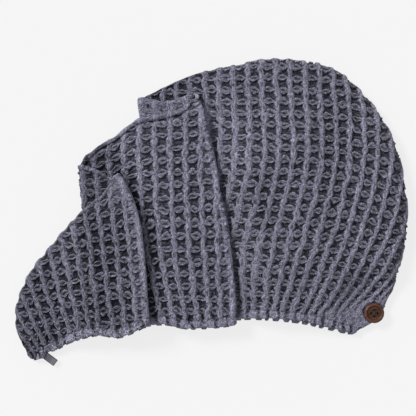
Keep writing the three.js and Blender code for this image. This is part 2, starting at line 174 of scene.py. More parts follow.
# Rib at t from 0 to 1: each column of the table is a Catmull-Rom spline through its rows
def ribAt(rows, t):
    place = np.clip(np.asarray(t, dtype=float), 0, 1) * (len(rows) - 1)
    k = np.minimum(np.floor(place).astype(int), len(rows) - 2)
    f = (place - k)[..., None]
    picked = [rows[np.clip(k + n, 0, len(rows) - 1)] for n in (-1, 0, 1, 2)]
    weights = [
        (-f + 2 * f**2 - f**3) / 2,
        (2 - 5 * f**2 + 3 * f**3) / 2,
        (f + 4 * f**2 - 3 * f**3) / 2,
        (-f**2 + f**3) / 2,
    ]
    row = sum(w * p for w, p in zip(weights, picked))
    return row[..., 0:2] * plainSize, row[..., 2:4] * plainSize, row[..., 4] * cloth["length"]


# Point of a rib: the hem plus v times the chord, plus the bow, greatest at two thirds, clockwise
# of the chord
def ribPoint(rib, v):
    hem, crown, bow = rib
    chord = crown - hem
    side = np.stack([chord[..., 1], -chord[..., 0]], -1) / np.linalg.norm(chord, axis=-1)[..., None]
    v = np.asarray(v, dtype=float)
    bulge = np.where(v > 0, bow * 6.75 * v**2 * (1 - v), 0)
    return hem + chord * v[..., None] + side * bulge[..., None]


# Length of the chord from hem to crown edge
def ribLength(rib):
    return np.linalg.norm(rib[1] - rib[0], axis=-1)


foldRibs = [ribAt(segments[n]["rows"], 1.0) for n in range(4)]


# X of a fold's axis at a height y of the plan
def foldX(n, y):
    hem, crown, _ = foldRibs[n]
    return ribPoint(foldRibs[n], (y - hem[1]) / (crown[1] - hem[1]))[..., 0]


# Crown edge or hem of a segment as a polyline of the plan
def edgeLine(rows, v):
    t = np.linspace(0, 1, (len(rows) - 1) * 6 + 1)
    return ribPoint(ribAt(rows, t), np.full(len(t), float(v)))


# A segment's rib at t as a polyline of the plan
def endLine(rows, t):
    v = np.linspace(0, 1, 9)
    return ribPoint(ribAt(rows, np.full(9, float(t))), v)


hoodEdge = np.concatenate([endLine(napeToFirstFold, 0), edgeLine(napeToFirstFold, 1)])
middleEdge = edgeLine(secondToThirdFold, 1)
tailEdge = edgeLine(fourthFoldToTip, 1)
tipEnd = endLine(fourthFoldToTip, 1)
hoodHem = edgeLine(napeToFirstFold, 0)
middleHem = edgeLine(secondToThirdFold, 0)
tailHem = edgeLine(fourthFoldToTip, 0)


# Shortest distance from points of the plan to a polyline, and the step from the point to that
# nearest place
def nearestOn(line, x, y):
    best = np.full(x.shape, np.inf)
    stepX = np.zeros(x.shape)
    stepY = np.zeros(x.shape)
    for start, end in zip(line[:-1], line[1:]):
        bx, by = end - start
        along = ((x - start[0]) * bx + (y - start[1]) * by) / max(bx * bx + by * by, 1e-9)
        t = np.clip(along, 0, 1)
        dx = start[0] + t * bx - x
        dy = start[1] + t * by - y
        gap = np.hypot(dx, dy)
        closer = gap < best
        best = np.where(closer, gap, best)
        stepX = np.where(closer, dx, stepX)
        stepY = np.where(closer, dy, stepY)
    return best, stepX, stepY


# The button sits in from the nape's edge. Its place also ties the tables to the towel's own middle.
button = {
    "diameter": 18, "thickness": 3.8, "rimWidth": 2.3, "dish": 1.1, "inset": 5.9, "along": 0.68,
    "hole": 2.1, "holeCircle": 5.2,
    "underRound": 1.5, "topRound": 1.8, "rimRound": 0.5, "dishRound": (1.0, 0.7),
}
napeRib = ribAt(napeToFirstFold, 0.0)
napeChord = (napeRib[1] - napeRib[0]) / ribLength(napeRib)
napeInward = np.array([-napeChord[1], napeChord[0]])
buttonCentre = ribPoint(napeRib, button["along"]) + napeInward * button["inset"]
buttonBox = np.array([list(corner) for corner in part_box("button")]) / metre
shift = np.append((buttonBox[0, :2] + buttonBox[1, :2]) / 2 - buttonCentre, 0.0)


# The second and fourth folds lie further right than in the solids: mm by pixel row, fading out to
# their left
foldShifts = {
    1: {"rows": [101, 110, 126, 150, 172, 196, 212, 230, 245, 260, 290, 322],
        "aside": [1.5, 3.6, 4.2, 4.7, 5.2, 5.8, 7.2, 7.1, 6.4, 6.1, 4.6, 1.2]},
    3: {"rows": [190, 235, 285, 328], "aside": [0.0, 0.9, 1.7, 1.0]},
}
shiftFade = 40


# The shift of a fold at a height y, straight between the rows of its table
def foldAside(n, y):
    row = photo["bottom"] - y / photo["mmPerPixel"]
    return np.interp(row, foldShifts[n]["rows"], foldShifts[n]["aside"])


# How far a plan place of the layers at a fold moves right
def movedAside(n, x, y):
    return foldAside(n, y) * ease(1 - (foldX(n, y) - x) / shiftFade)


# Where each part may rise: 1 in its middle, eased to 0 at the folds, at the button and at the tip
def hoodMask(x, y):
    aside = foldAside(1, y)
    fromFold = ease((x - foldX(1, y) - aside) / (cloth["foldFlat"] - aside))
    fromButton = np.hypot(x - buttonCentre[0], y - buttonCentre[1]) - button["diameter"] / 2
    return fromFold * ease((fromButton - cloth["napeMargin"]) / cloth["napeFlat"])


# The same between the fourth fold and the second
def middleMask(x, y):
    left = ease((x - foldX(3, y) - foldReach) / cloth["foldFlat"])
    return left * ease((foldX(1, y) - x) / cloth["foldFlat"])


# And between the tip and the fourth fold
def tailMask(x, y):
    fromTip = ease(nearestOn(tipEnd, x, y)[0] / cloth["tipFlat"])
    return ease((foldX(3, y) - x) / cloth["foldFlat"]) * fromTip


# Rise of a swell: the rolled edge, then the rest over its reach, less at the mouth, and half a
# wall of tuck
def swellAt(swell, mask, edge, hem, x, y):
    gap = nearestOn(edge, x, y)[0]
    toHem = nearestOn(hem, x, y)[0]
    mouth = swell["mouthShare"] + (1 - swell["mouthShare"]) * ease(toHem / swell["mouthReach"])
    roll = rollHeight(gap, swell["edge"])
    inner = max(swell["rise"] - swell["edge"], 0) * ease(gap / swell["reach"])
    tuck = (1 - roll / swell["edge"]) * cloth["wall"] / 2
    return (roll + inner - tuck) * mouth * mask


# 1 over a fold, eased to 0 within its reach at the left
def besideFold(n, reach, x, y):
    return ease((x - foldX(n, y) + foldReach + reach) / reach)


# Ground under the middle and under the tail: four layers each, coming down beside the folds
def middleGround(x, y):
    return 4 * pitch * besideFold(0, cloth["dropReach"], x, y)


# How much steep ground spreads the layers on it: the root of 1 plus the slope squared
def spread(ground, x, y):
    slopeX = ground(x + 0.5, y) - ground(x - 0.5, y)
    slopeY = ground(x, y + 0.5) - ground(x, y - 0.5)
    return np.sqrt(1 + slopeX**2 + slopeY**2)


# The tail's ground: the middle's and its four layers, thicker by their spread on a slope
def tailGround(x, y):
    stack = middleGround(x, y) + 4 * pitch * spread(middleGround, x, y)
    return stack * besideFold(2, cloth["tailDropReach"], x, y)


# Middle height of a panel in a segment: its place in the stack, on the ground under it, plus its
# swell
def sheetHeight(n, panel, x, y):
    level = cloth["wall"] / 2 + segments[n][panel] * pitch
    if n == 0 and panel == "front":
        return level + swellAt(swells["hood"], hoodMask(x, y), hoodEdge, hoodHem, x, y)
    if n <= 1:
        return np.full(x.shape, level)
    if n <= 3:
        height = middleGround(x, y) + (level - 4 * pitch) * spread(middleGround, x, y)
        if n == 3 or panel == "back":
            return height
        return height + swellAt(swells["middle"], middleMask(x, y), middleEdge, middleHem, x, y)
    height = tailGround(x, y) + (level - 8 * pitch) * spread(tailGround, x, y)
    if panel == "back":
        return height
    return height + swellAt(swells["tail"], tailMask(x, y), tailEdge, tailHem, x, y)


# Points of a panel in a segment, at shares s along the cloth and distances from the hem along
# each rib
def sheetPoints(n, panel, s, fromHem):
    rib = ribAt(segments[n]["rows"], s[:, None])
    plan = ribPoint(rib, fromHem / ribLength(rib))
    if n == 0 and panel == "front":
        mask = hoodMask(plan[..., 0], plan[..., 1])
        back = cloth["mouthSetback"] * mask * (1 - ease(fromHem / swells["hood"]["mouthReach"]))
        plan[..., 1] += back
    height = sheetHeight(n, panel, plan[..., 0], plan[..., 1])
    if n > 0:
        plan[..., 0] += movedAside(1 if n < 3 else 3, plan[..., 0], plan[..., 1])
    return np.concatenate([plan, height[..., None]], -1), plan


# Length of a line up to each of its points
def lineLengths(line):
    return np.concatenate([[0], np.cumsum(np.linalg.norm(np.diff(line, axis=0), axis=1))])


# Profile of a pressed turn: a half ellipse with squared shoulders, as shares of its reach and its
# radius
def turnProfile(turn):
    angle = math.pi * turn
    square = 0.42
    out = np.abs(np.sin(angle)) ** square
    up = 1 - np.sign(np.cos(angle)) * np.abs(np.cos(angle)) ** square
    return out, up


# Points of a panel's turn round a fold, between its places in the two segments. The second result
# is the plan place that the turned cloth would have if it went on flat from the upper segment.
def turnPoints(n, panel, turn, fromHem):
    rib = foldRibs[n]
    v = fromHem / ribLength(rib)
    axis = ribPoint(rib, v)
    along = ribPoint(rib, v + 1e-3) - ribPoint(rib, v - 1e-3)
    along /= np.linalg.norm(along, axis=-1)[..., None]
    outward = np.stack([along[..., 1], -along[..., 0]], -1) * foldSides[n]
    low = sheetHeight(n, panel, axis[..., 0], axis[..., 1])
    high = sheetHeight(n + 1, panel, axis[..., 0], axis[..., 1])
    radius = (high - low) / 2
    reach = abs(segments[n][panel] - segments[n + 1][panel]) * pitch / 2
    out, up = turnProfile(turn[:, None])
    plan = axis + outward * (reach * out)[..., None]
    height = low + radius * up
    fine = np.linspace(1, 0, 200)
    fineOut, fineUp = turnProfile(fine)
    gone = lineLengths(np.stack([fineOut * reach, fineUp * radius.mean()], -1))
    fromTop = np.interp(1 - turn, 1 - fine, gone)[:, None]
    unrolled = axis + outward * (fromTop + 0 * v)[..., None]
    if n in foldShifts:
        aside = foldAside(n, axis[..., 1])
        plan[..., 0] += aside
        unrolled[..., 0] += aside
    return np.concatenate([plan, height[..., None]], -1), unrolled


# Shares of a segment spaced evenly along the cloth at v of the ribs
def evenShares(rows, v, s0, s1, count):
    s = np.linspace(s0, s1, 400)
    line = ribPoint(ribAt(rows, s), np.full(400, float(v)))
    gone = lineLengths(line)
    return np.interp(np.linspace(0, gone[-1], count), gone, s)


# Distances from the hem of the rows of a column: even along the cloth, so they crowd where the
# edge rolls down
def rowDistances(total, start, rollRadius, shares):
    flat = total - start - rollRadius
    gone = shares[None, :] * (flat + rollRadius * math.pi / 2)
    over = np.clip((gone - flat) / rollRadius, 0, math.pi / 2)
    return start + np.where(gone < flat, gone, flat + rollRadius * np.sin(over))


# Random heights from -1 to 1 on a lattice of this size, eased between its corners. The sine of
# the corner's place gives each height, so it is the same each time.
def valueNoise(x, y, size, seed):
    gx, gy = x / size, y / size
    ix, iy = np.floor(gx), np.floor(gy)
    fx, fy = ease(gx - ix), ease(gy - iy)

    def corner(i, j):
        return (np.sin(i * 127.1 + j * 311.7 + seed * 74.7) * 43758.5453) % 1

    low = corner(ix, iy) * (1 - fx) + corner(ix + 1, iy) * fx
    high = corner(ix, iy + 1) * (1 - fx) + corner(ix + 1, iy + 1) * fx
    return (low * (1 - fy) + high * fy) * 2 - 1


# Two sizes of that noise together, the second at a share of the first's height
def twoNoises(x, y, sizes, share, seed):
    return valueNoise(x, y, sizes[0], seed) + share * valueNoise(x, y, sizes[1], seed + 1)


# Waffle weave: ridges between the cells, and an eye of two arcs across each row. Sizes are shares
# of a cell where no unit is named.
weave = {
    "ridge": 0.12,            # half width of an upright ridge at a crossing
    "ridgeBelly": 0.05,       # how much wider it is between crossings
    "ridgeSway": 0.035,
    "ridgeSide": (0.5, 1.5),  # where its side starts and ends, in half widths
    "knot": 0.08,             # how much higher it is at a crossing
    "knotReach": 0.2,
    "pad": 0.16,              # how much wider it is at its right, just below a crossing
    "padStart": 0.22,
    "column": 12.6,           # a column of cells at its full width, mm
    "widest": 1.4,            # most that a ridge widens where the columns close up
    "eye": 0.245,             # half height of an eye
    "eyeSpread": 0.4,         # how much the eyes' heights differ
    "eyeReach": 0.4,          # half length of an eye
    "eyeSide": (-0.06, 0.02), # where an eye's floor ends, counted outward from its arc
    "eyeHeight": 0.66,        # height of an eye's floor
    "rope": 0.1,              # half width of an arc
    "ropeTop": 0.02,          # half width of its flat top
    "sag": 0.1,               # how much lower an arc's middle is than its ends
    "faint": 0.16,            # how much lower the upper arc is
    "upper": 0.08,            # and how much higher the eye's floor is beside it
    "halves": 0.14,           # the eye's upper half goes over into the lower one within this
    "pupil": 0.34,            # how deep the eye's middle is
    "pupilSize": (0.19, 0.1),
    "bowl": (0.16, 0.1),      # how a cell's floor rises at its sides, and at its top and bottom
    "bowlReach": 0.3,
    "tilt": 0.2,              # how far the eyes lean
    "hemTilt": 0.45,          # and how much further at the hem
    "hemTiltReach": 20,       # mm
    "top": 0.3,               # ridge above the solid's face, mm
    "puff": 0.8,              # and how much more where nothing lies on it, mm
    "puffReach": 12,          # mm from the second fold to the hood's full puff
    "pit": -2.3,              # floor of a cell below the solid's face, mm
    "flat": 0.8,              # height of the cloth where the weave has no depth
    "wander": 0.09,           # how far the cells stray
    "hemWander": 0.9,         # and how much further at the hem
    "hemWanderReach": 22,     # mm
    "fuzz": 0.2,              # roughness of the yarns, mm
}
# Sizes of the weave's noises, mm, and the second size's share
wanderAcross = (8.7, 3.9)
wanderDown = (8.1, 3.7)
tiltNoise = (6.9, 19)
fuzzNoise = (1.7, 2.9)
eyeNoise = 7.3
secondShare = 0.6

# Cells of the hood, the middle and the tail, in the photograph's pixels. A ramp is where it
# starts and how far it runs.
hoodWeave = {
    "start": (268, 73), "cell": (14.2, 11.7),      # a cell's corner, and its width and height
    "lean": 22, "leanRamp": (148, 125),            # the columns lean left towards the hem
    "topLean": 2, "topRamp": (80, 50),
    "gather": 0.25, "gatherRamp": (215, 85), "gatherMost": 1.15,
    "droop": 0.00128, "droopFrom": 279, "droopTop": 0.78, "droopMore": 0.5, "droopRamp": (125, 110),
    "hemRows": 0.28, "hemRamp": (175, 140),
}
middleWeave = {
    "start": (147, 131), "cell": (15.2, 12.2),
    "drift": 17, "narrow": 2.8, "downRamp": (150, 154), "downMost": 1.3,
    "droop": 0.0055, "droopRamp": (160, 50),
    "tilt": 0.062, "tiltFrom": 155, "tiltRamp": (190, 90),
    "hemRows": 0.2, "hemRamp": (190, 60),
}
tailWeave = {
    "start": (130.5, 204), "cell": 12,
    "fanRow": 311, "fan": 0.095, "fanMore": 0.0052,
    "bend": 0.2, "bendAt": (102, 20),
    "rowFrom": 130, "rowTilt": 0.165, "rowBend": 0.0003,
}


# Cell columns and rows of the hood at pixel X, Y: even cells that lean and close up towards the
# hem and droop by the square of the distance at the right
def hoodCells(X, Y):
    look = hoodWeave
    startX, startY = look["start"]
    lean = look["lean"] * ramp(Y, look["leanRamp"]) - look["topLean"] * ramp(Y, look["topRamp"])
    down = (Y - look["gatherRamp"][0]) / look["gatherRamp"][1]
    gather = look["gather"] * np.clip(down, 0, look["gatherMost"]) ** 2
    column = ((X + lean - startX * gather) / (1 - gather) - startX) / look["cell"][0]
    lower = look["droopTop"] + look["droopMore"] * ramp(Y, look["droopRamp"])
    droop = look["droop"] * np.clip(X - look["droopFrom"], 0, None) ** 2 * lower
    row = (Y - droop - startY) / look["cell"][1] - look["hemRows"] * ramp(Y, look["hemRamp"])
    return column, row


# The middle's cells close up towards the hem, and its rows droop at the left and tilt at the top
def middleCells(X, Y):
    look = middleWeave
    startX, startY = look["start"]
    down = (Y - look["downRamp"][0]) / look["downRamp"][1]
    down = np.clip(down, 0, look["downMost"]) ** 2
    column = (X - startX - look["drift"] * down) / (look["cell"][0] - look["narrow"] * down)
    droop = look["droop"] * np.clip(startX - X, 0, None) ** 2 * (1 - ramp(Y, look["droopRamp"]))
    tilt = look["tilt"] * (X - look["tiltFrom"]) * (1 - ramp(Y, look["tiltRamp"]))
    row = (Y + tilt - droop - startY) / look["cell"][1]
    return column, row - look["hemRows"] * ramp(Y, look["hemRamp"])


# The tail's columns fan out: X = start - cell n + (Y - fanRow)(fan + fanMore n²), solved for n
def tailCells(X, Y):
    look = tailWeave
    startX, startY = look["start"]
    cell = look["cell"]
    down = Y - look["fanRow"]
    gap = startX + look["fan"] * down - X
    root = np.sqrt(np.maximum(cell**2 - 4 * look["fanMore"] * down * gap, 1))
    column = 2 * gap / (cell + root) - look["bend"] * bell(X - look["bendAt"][0], look["bendAt"][1])
    left = look["rowFrom"] - X
    row = (Y - startY - look["rowTilt"] * left - look["rowBend"] * left * np.abs(left)) / cell
    return -column, row


cellsOf = [hoodCells, middleCells, middleCells, tailCells, tailCells]
rolledEdges = {0: (hoodEdge, "hood"), 2: (middleEdge, "middle"), 4: (tailEdge, "tail")}


# Pixel column and row of the photograph at a plan place
def pixelAt(x, y):
    return x / photo["mmPerPixel"] + photo["left"], photo["bottom"] - y / photo["mmPerPixel"]


# Phases of the weave at a plan place, whole numbers on the ridges. Near a rolled edge they go on
# by the length of the cloth, not of the plan: r(pi/2 - acos(1 - d/r)) - (r - d) further out.
# Noise makes the cells stray.
def weavePhases(n, plan, panel, fromHem):
    x, y = plan[..., 0], plan[..., 1]
    if n in rolledEdges and panel == "front":
        line, name = rolledEdges[n]
        radius = swells[name]["edge"]
        gap, dx, dy = nearestOn(line, x, y)
        d = np.clip(gap, 0, radius)
        further = radius * (math.pi / 2 - np.arccos(1 - d / radius)) - (radius - d)
        unit = np.maximum(gap, 0.5)
        x = x + dx / unit * further
        y = y + dy / unit * further
    column, row = cellsOf[n](*pixelAt(x, y))
    stray = weave["wander"] * (1 + weave["hemWander"] * fade(fromHem, weave["hemWanderReach"]))
    column = column + stray * twoNoises(x, y, wanderAcross, secondShare, 1)
    row = row + stray * twoNoises(x, y, wanderDown, secondShare, 3)
    return column + 0.5, row + 0.5


# How open each eye is: its half height, more or less by a noise
def eyeOpening(plan):
    noise = valueNoise(plan[..., 0], plan[..., 1], eyeNoise, 5)
    return weave["eye"] * (1 + weave["eyeSpread"] * noise)


# How far each eye leans: a noise times a reach that grows towards the hem
def eyeTilt(plan, fromHem):
    reach = weave["tilt"] + weave["hemTilt"] * fade(fromHem, weave["hemTiltReach"])
    return reach * twoNoises(plan[..., 0], plan[..., 1], tiltNoise, 0.5, 15)


# Height of the weave from 0 on a cell's floor to 1 on a ridge: the highest of the ridge, the two
# arcs, the eye's floor between them and the cell's bowl
def weaveHeight(P, Q, eye, wide, tilt):
    u = (P + 0.5) % 1 - 0.5
    a = P % 1 - 0.5
    v = (Q + 0.5) % 1 - 0.5
    sway = -weave["ridgeSway"] * np.sin(2 * math.pi * Q)
    half = wide * (weave["ridge"] + weave["ridgeBelly"] * (1 - np.cos(2 * math.pi * Q)) / 2)
    past = Q % 1
    pad = weave["pad"] * (1 - past) * smoothStep(0, weave["padStart"], past)
    half = half + np.where(u > sway, pad, 0)
    knot = 1 - weave["knot"] * (1 - bell(v, weave["knotReach"]))
    ridge = (1 - smoothStep(*weave["ridgeSide"], np.abs(u - sway) / half)) * knot
    reach = np.clip(np.abs(a) / weave["eyeReach"], 0, 1)
    leaning = v + tilt * a
    above = 1 - smoothStep(-weave["halves"], weave["halves"], leaning)
    offArc = np.abs(leaning) - eye * np.cos(math.pi / 2 * reach)
    rope = 1 - smoothStep(weave["ropeTop"], weave["rope"], np.abs(offArc))
    rope = rope * (1 - weave["sag"] * (1 - reach**2) - weave["faint"] * above)
    pupil = weave["pupil"] * bell(a, weave["pupilSize"][0]) * bell(leaning, weave["pupilSize"][1])
    within = weave["eyeHeight"] + weave["upper"] * above - pupil
    within = within * (1 - smoothStep(*weave["eyeSide"], offArc))
    sides, ends = weave["bowl"]
    bowl = sides * (a / weave["eyeReach"]) ** 2
    bowl = bowl + ends * ((0.5 - np.abs(v)) / weave["bowlReach"]) ** 2
    return np.clip(np.maximum(np.maximum(ridge, rope), np.maximum(within, bowl)), 0, 1)


# Closed mesh from an outer grid and a coarser inner one, which takes every stepC-th column and
# stepR-th row. Each rim face spans one inner edge and all the outer edges over it. flip turns all
# the faces round. Nothing goes below the floor, where the cloth is pressed flat.
def closedSheet(name, outer, inner, stepC, stepR, phases, values, flip):
    columns, rows = outer.shape[:2]
    innerColumns, innerRows = inner.shape[:2]
    outerIndex = np.arange(columns * rows).reshape(columns, rows)
    innerIndex = np.arange(innerColumns * innerRows).reshape(innerColumns, innerRows)
    innerIndex = columns * rows + innerIndex

    def quads(index):
        parts = [index[:-1, :-1], index[1:, :-1], index[1:, 1:], index[:-1, 1:]]
        return np.stack([p.ravel() for p in parts], -1)

    def rim(outerLine, innerLine, step):
        starts = np.arange(len(innerLine) - 1) * step
        run = outerLine[starts[:, None] + np.arange(step, -1, -1)[None, :]]
        return np.concatenate([innerLine[:-1, None], innerLine[1:, None], run], 1)

    groups = [
        quads(outerIndex),
        quads(innerIndex)[:, ::-1],
        rim(outerIndex[:, 0], innerIndex[:, 0], stepC),
        rim(outerIndex[:, -1], innerIndex[:, -1], stepC)[:, ::-1],
        rim(outerIndex[0], innerIndex[0], stepR)[:, ::-1],
        rim(outerIndex[-1], innerIndex[-1], stepR),
    ]
    if flip:
        groups = [g[:, ::-1] for g in groups]
    sizes = np.concatenate([np.full(len(g), g.shape[1]) for g in groups])
    corners = np.concatenate([g.ravel() for g in groups])
    points = np.concatenate([outer.reshape(-1, 3), inner.reshape(-1, 3)]) + shift
    points[:, 2] = np.maximum(points[:, 2], 0)
    mesh = bpy.data.meshes.new(name)
    mesh.vertices.add(len(points))
    mesh.vertices.foreach_set("co", (points * metre).astype(np.float32).ravel())
    mesh.loops.add(len(corners))
    mesh.loops.foreach_set("vertex_index", corners.astype(np.int32))
    mesh.polygons.add(len(sizes))
    mesh.polygons.foreach_set("loop_start", (np.cumsum(sizes) - sizes).astype(np.int32))
    mesh.update(calc_edges=True)
    mesh.validate()
    layer = mesh.uv_layers.new(name="weave")
    both = [np.concatenate([p.ravel(), p[::stepC, ::stepR].ravel()]) for p in phases]
    layer.data.foreach_set("uv", np.stack(both, -1)[corners].astype(np.float32).ravel())
    for title, value in values.items():
        attribute = mesh.attributes.new(title, "FLOAT", "POINT")
        both = np.concatenate([value.ravel(), value[::stepC, ::stepR].ravel()])
        attribute.data.foreach_set("value", both.astype(np.float32))
    mesh.polygons.foreach_set("use_smooth", np.ones(len(sizes), dtype=bool))
    obj = bpy.data.objects.new(name, mesh)
    bpy.context.scene.collection.objects.link(obj)
    return obj


# Normals of a grid of points: the cross product of its two gradients
def gridNormals(points):
    normal = np.cross(np.gradient(points, axis=0), np.gradient(points, axis=1))
    return normal / np.maximum(np.linalg.norm(normal, axis=-1), 1e-9)[..., None]


# One stretch after another of a panel: sheets between folds, and the turns between them. The last
# result is how far round its fold each column of a turn lies, and 0 on the sheets.
def panelGrid(panel, stretches, rowsOf):
    points, unrolled, fromHem, owner, total, turning = [], [], [], [], [], []
    for kind, n, start, end, count in stretches:
        if kind == "sheet":
            s = evenShares(segments[n]["rows"], 0.6, start, end, count)
            length = ribLength(ribAt(segments[n]["rows"], s))
            distance = rowsOf(n, length[:, None])
            place, plan = sheetPoints(n, panel, s, distance)
            phaseFrom = n
            turned = np.zeros(len(place))
        else:
            turn = (1 - np.cos(math.pi * np.linspace(0, 1, count + 2)[1:-1])) / 2
            length = np.full(count, ribLength(foldRibs[n]))
            distance = rowsOf(n + 1, length[:, None])
            place, plan = turnPoints(n, panel, turn, distance)
            phaseFrom = n + 1
            turned = turn
        points.append(place)
        unrolled.append(plan)
        fromHem.append(distance)
        owner.append(np.full(len(place), phaseFrom))
        total.append(length)
        turning.append(turned)
    return [np.concatenate(part) for part in (points, unrolled, fromHem, owner, total, turning)]


# Distance to the right of a fold's visible edge
def pastFold(n, points):
    x, y = points[..., 0], points[..., 1]
    return x - foldX(n, y) - foldAside(n, y) - foldReach


# Area of a grid's cells, in square metres
def gridArea(points):
    normal = np.cross(np.diff(points, axis=0)[:, :-1], np.diff(points, axis=1)[:-1])
    return float(np.linalg.norm(normal, axis=-1).sum()) * metre**2


# The panels besides their weave. Sizes are mm, a ramp is its start and its width, and the ramps
# without a unit are pixels of the photograph. A smooth value is the share of the depth taken off
# or left, as its note says.
# Entries named Shade, Shadow or Light set painted shade and painted light in the cloth's colour, as
# does the button's entry below; creaseReach is how far the painted shade of the hem's creases
# reaches.
panelLook = {
    "lip": 1.5,                  # how far in from a cut edge the cloth's face rounds over
    "seamSmooth": 0.45,          # share of the weave's depth left at the hem band
    "seamFade": 3.0,
    "gatherDepth": 1.2,
    "gatherFade": 11.0,          # how far the hem's gathers reach up the panel
    "napeSmooth": 0.35,          # share of the depth left on the nape's tab
    "tabAcross": (306, 12), "tabDown": (305, 12), "tabCorner": 330, "tabSlope": 0.25,
    "stripSmooth": 0.45,         # and on the strip that shows between the first two folds
    "foldSmooth": 0.75,          # and beside the second and fourth folds
    "foldReach": 15.0,
    "turnSmooth": 0.3,           # share taken off on the turns
    "crownSmooth": 0.35, "crownSmoothReach": 12,  # and at the middle's and the tail's crown edges
    "tailTop": (116, 176), "tailTopReach": 22,    # pixel of the tail's top corner, and round it
    "tailTopSmooth": 0.5,
    "lowWide": 0.17, "lowRamp": (205, 60),  # how much wider the ridges are low on the hood
    "scallop": 0.3, "scallopReach": 4.0,    # the crown edge draws in where it cuts a cell
    "tailScallop": 1.3, "tailScallopReach": 5.0,  # the tail's edge more, at a longer step
    "tailStep": 15.5, "tailUneven": 21.0,
    "crownSwell": 1.2, "crownSwellAt": (315, 15), "crownSwellReach": 14,  # the hood's stands out
    "seam": 5.0, "tailSeam": 2.8,  # from the crown edge to the seam's groove, and on the tail
    "seamDepth": 1.5, "seamWidth": 1.1, "tailGroove": 0.5,
    "lumpWave": 0.32, "lumpNoise": 0.3, "lumpSize": 4.2,  # the roll behind the groove is lumpy
    "lumpHeight": 1.3, "rollLow": 1.5, "rollSmooth": 0.75,
    "rollShade": 0.55, "tailRollLight": 0.22, "tabLight": 0.12, "creaseReach": 5.0,
    "tickShade": 1.4, "tickPlace": 7.5, "tickSize": (0.07, 1.8),  # dark ticks on the strip
    "gutter": 18.0, "gutterShade": 0.64,    # the shaded band beside the tail's fold
    "tailShade": 0.36, "tailRamp": (8, 16),  # mm
    "pocketShade": 0.78, "pocketReach": 6, "pocketEdge": (3.5, 4),
    "gapLight": 1.0, "gapTopLight": 0.8,    # beside the second fold the gap isn't that dark
    "gapWidth": 5, "gapRamp": (94, 14), "gapTopRamp": (112, 40),
    "besideShade": 0.26, "besideRamp": (256, 20), "besideDown": (150, 50),  # right of that gap
    "crownShade": 0.3, "crownShadeReach": 22,
    "rightLight": 0.15, "rightRamp": (325, 50),
    "lowLight": 0.06, "lowLightAcross": (262, 16), "lowLightDown": (225, 30),
    "middleLight": 0.11, "middleRamp": (200, 60),
    # painted shadow of the button on the cloth, offset up and to the left of it
    "underButtonShade": 1.5, "buttonShadow": 0.8, "buttonShadowSoft": 1.6,  # up and to the left of it
    "foldLight": 0.4, "sideLight": 1.2, "sideRamp": (0.4, 0.3),  # on a turn, and on its side
    "shadeRange": (-1.6, 1),
}


# The middle's crown edge: a dip and a bump centred on these pixel columns, their widths in pixels
# too, and a lower corner at the second fold. The other sizes are mm.
crownDip = {"place": 115, "width": 15, "depth": 3.4, "reach": 12}
crownBump = {"place": 84.5, "width": 5.0, "height": 5.2, "reach": 9}
crownCorner = {"depth": 6.0, "width": 20, "reach": 16}


# How much wider a ridge is, as a share of its column, where the columns close up
def ridgeWidth(points, P):
    step = np.linalg.norm(np.gradient(points, axis=0), axis=-1)
    column = step / np.maximum(np.abs(np.gradient(P, axis=0)), 1e-4)
    return np.clip(weave["column"] / column, 1, weave["widest"]) ** 1.5


# Quarter round at an edge, from 0 to 1: the root of 1 - (1 - d/width)²
def roundOver(distance, width):
    inside = 1 - np.clip(distance / width, 0, 1)
    return np.sqrt(np.maximum(1 - inside**2, 0))


# Creases between the hem's gathers: 1 in a crease, 0 on a gather. Each ridge of the weave starts
# a gather.
def creaseOf(P, gone):
    wave = P + 0.14 * valueNoise(gone, gone * 0, 9.0, 6)
    deep = 0.72 + 0.28 * valueNoise(gone, gone * 0, 8.0, 7)
    return smoothStep(0.45, 0.98, 0.5 - 0.5 * np.cos(2 * math.pi * wave)) * deep


# How far the crown edge draws in, fading towards the hem: scallops where it cuts a cell, longer
# waves on the tail, and bells for the other forms. The hood's swell and the middle's bump draw it
# out.
def crownShift(panel, points, P, X, toCrown, owner, turning):
    onHood, onMiddle, onTail = ((owner == n)[:, None] for n in (0, 2, 4))
    onTurn = (turning > 0)[:, None]
    inward = points[:, :1] - points[:, -1:]
    inward[..., 2] = 0
    inward /= np.maximum(np.linalg.norm(inward, axis=-1), 1e-6)[..., None]
    between = 0.5 - 0.5 * np.cos(2 * math.pi * P[:, -1:])
    draw = panelLook["scallop"] * between * fade(toCrown, panelLook["scallopReach"])
    crownGone = lineLengths(points[:, -1])[:, None]
    uneven = valueNoise(crownGone, 0 * crownGone, panelLook["tailUneven"], 17)
    wave = 0.5 - 0.5 * np.cos(2 * math.pi * crownGone / panelLook["tailStep"] + uneven)
    tailDraw = panelLook["tailScallop"] * wave**2 * onTail
    draw = draw + tailDraw * fade(toCrown, panelLook["tailScallopReach"])
    edgeX = X[:, -1:]
    if panel == "front":
        swellPlace, swellWidth = panelLook["crownSwellAt"]
        swelling = panelLook["crownSwell"] * bell(edgeX - swellPlace, swellWidth) * onHood
        draw = draw - swelling * fade(toCrown, panelLook["crownSwellReach"])
    # The middle's edge dips at its left, and runs level to the second fold's corner
    dip = crownDip["depth"] * bell(edgeX - crownDip["place"], crownDip["width"])
    draw = draw + dip * fade(toCrown, crownDip["reach"]) * (onMiddle | (owner == 3)[:, None])
    bump = crownBump["height"] * bell(edgeX - crownBump["place"], crownBump["width"])
    draw = draw - bump * fade(toCrown, crownBump["reach"]) * onMiddle
    edgeY = points[:, -1:, 1]
    fromCorner = foldX(1, edgeY) + foldAside(1, edgeY) - points[:, -1:, 0]
    share = np.where(onTurn, ease(turning[:, None]), ease(1 - fromCorner / crownCorner["width"]))
    draw = draw + crownCorner["depth"] * share * onMiddle * fade(toCrown, crownCorner["reach"])
    return inward * draw[..., None]


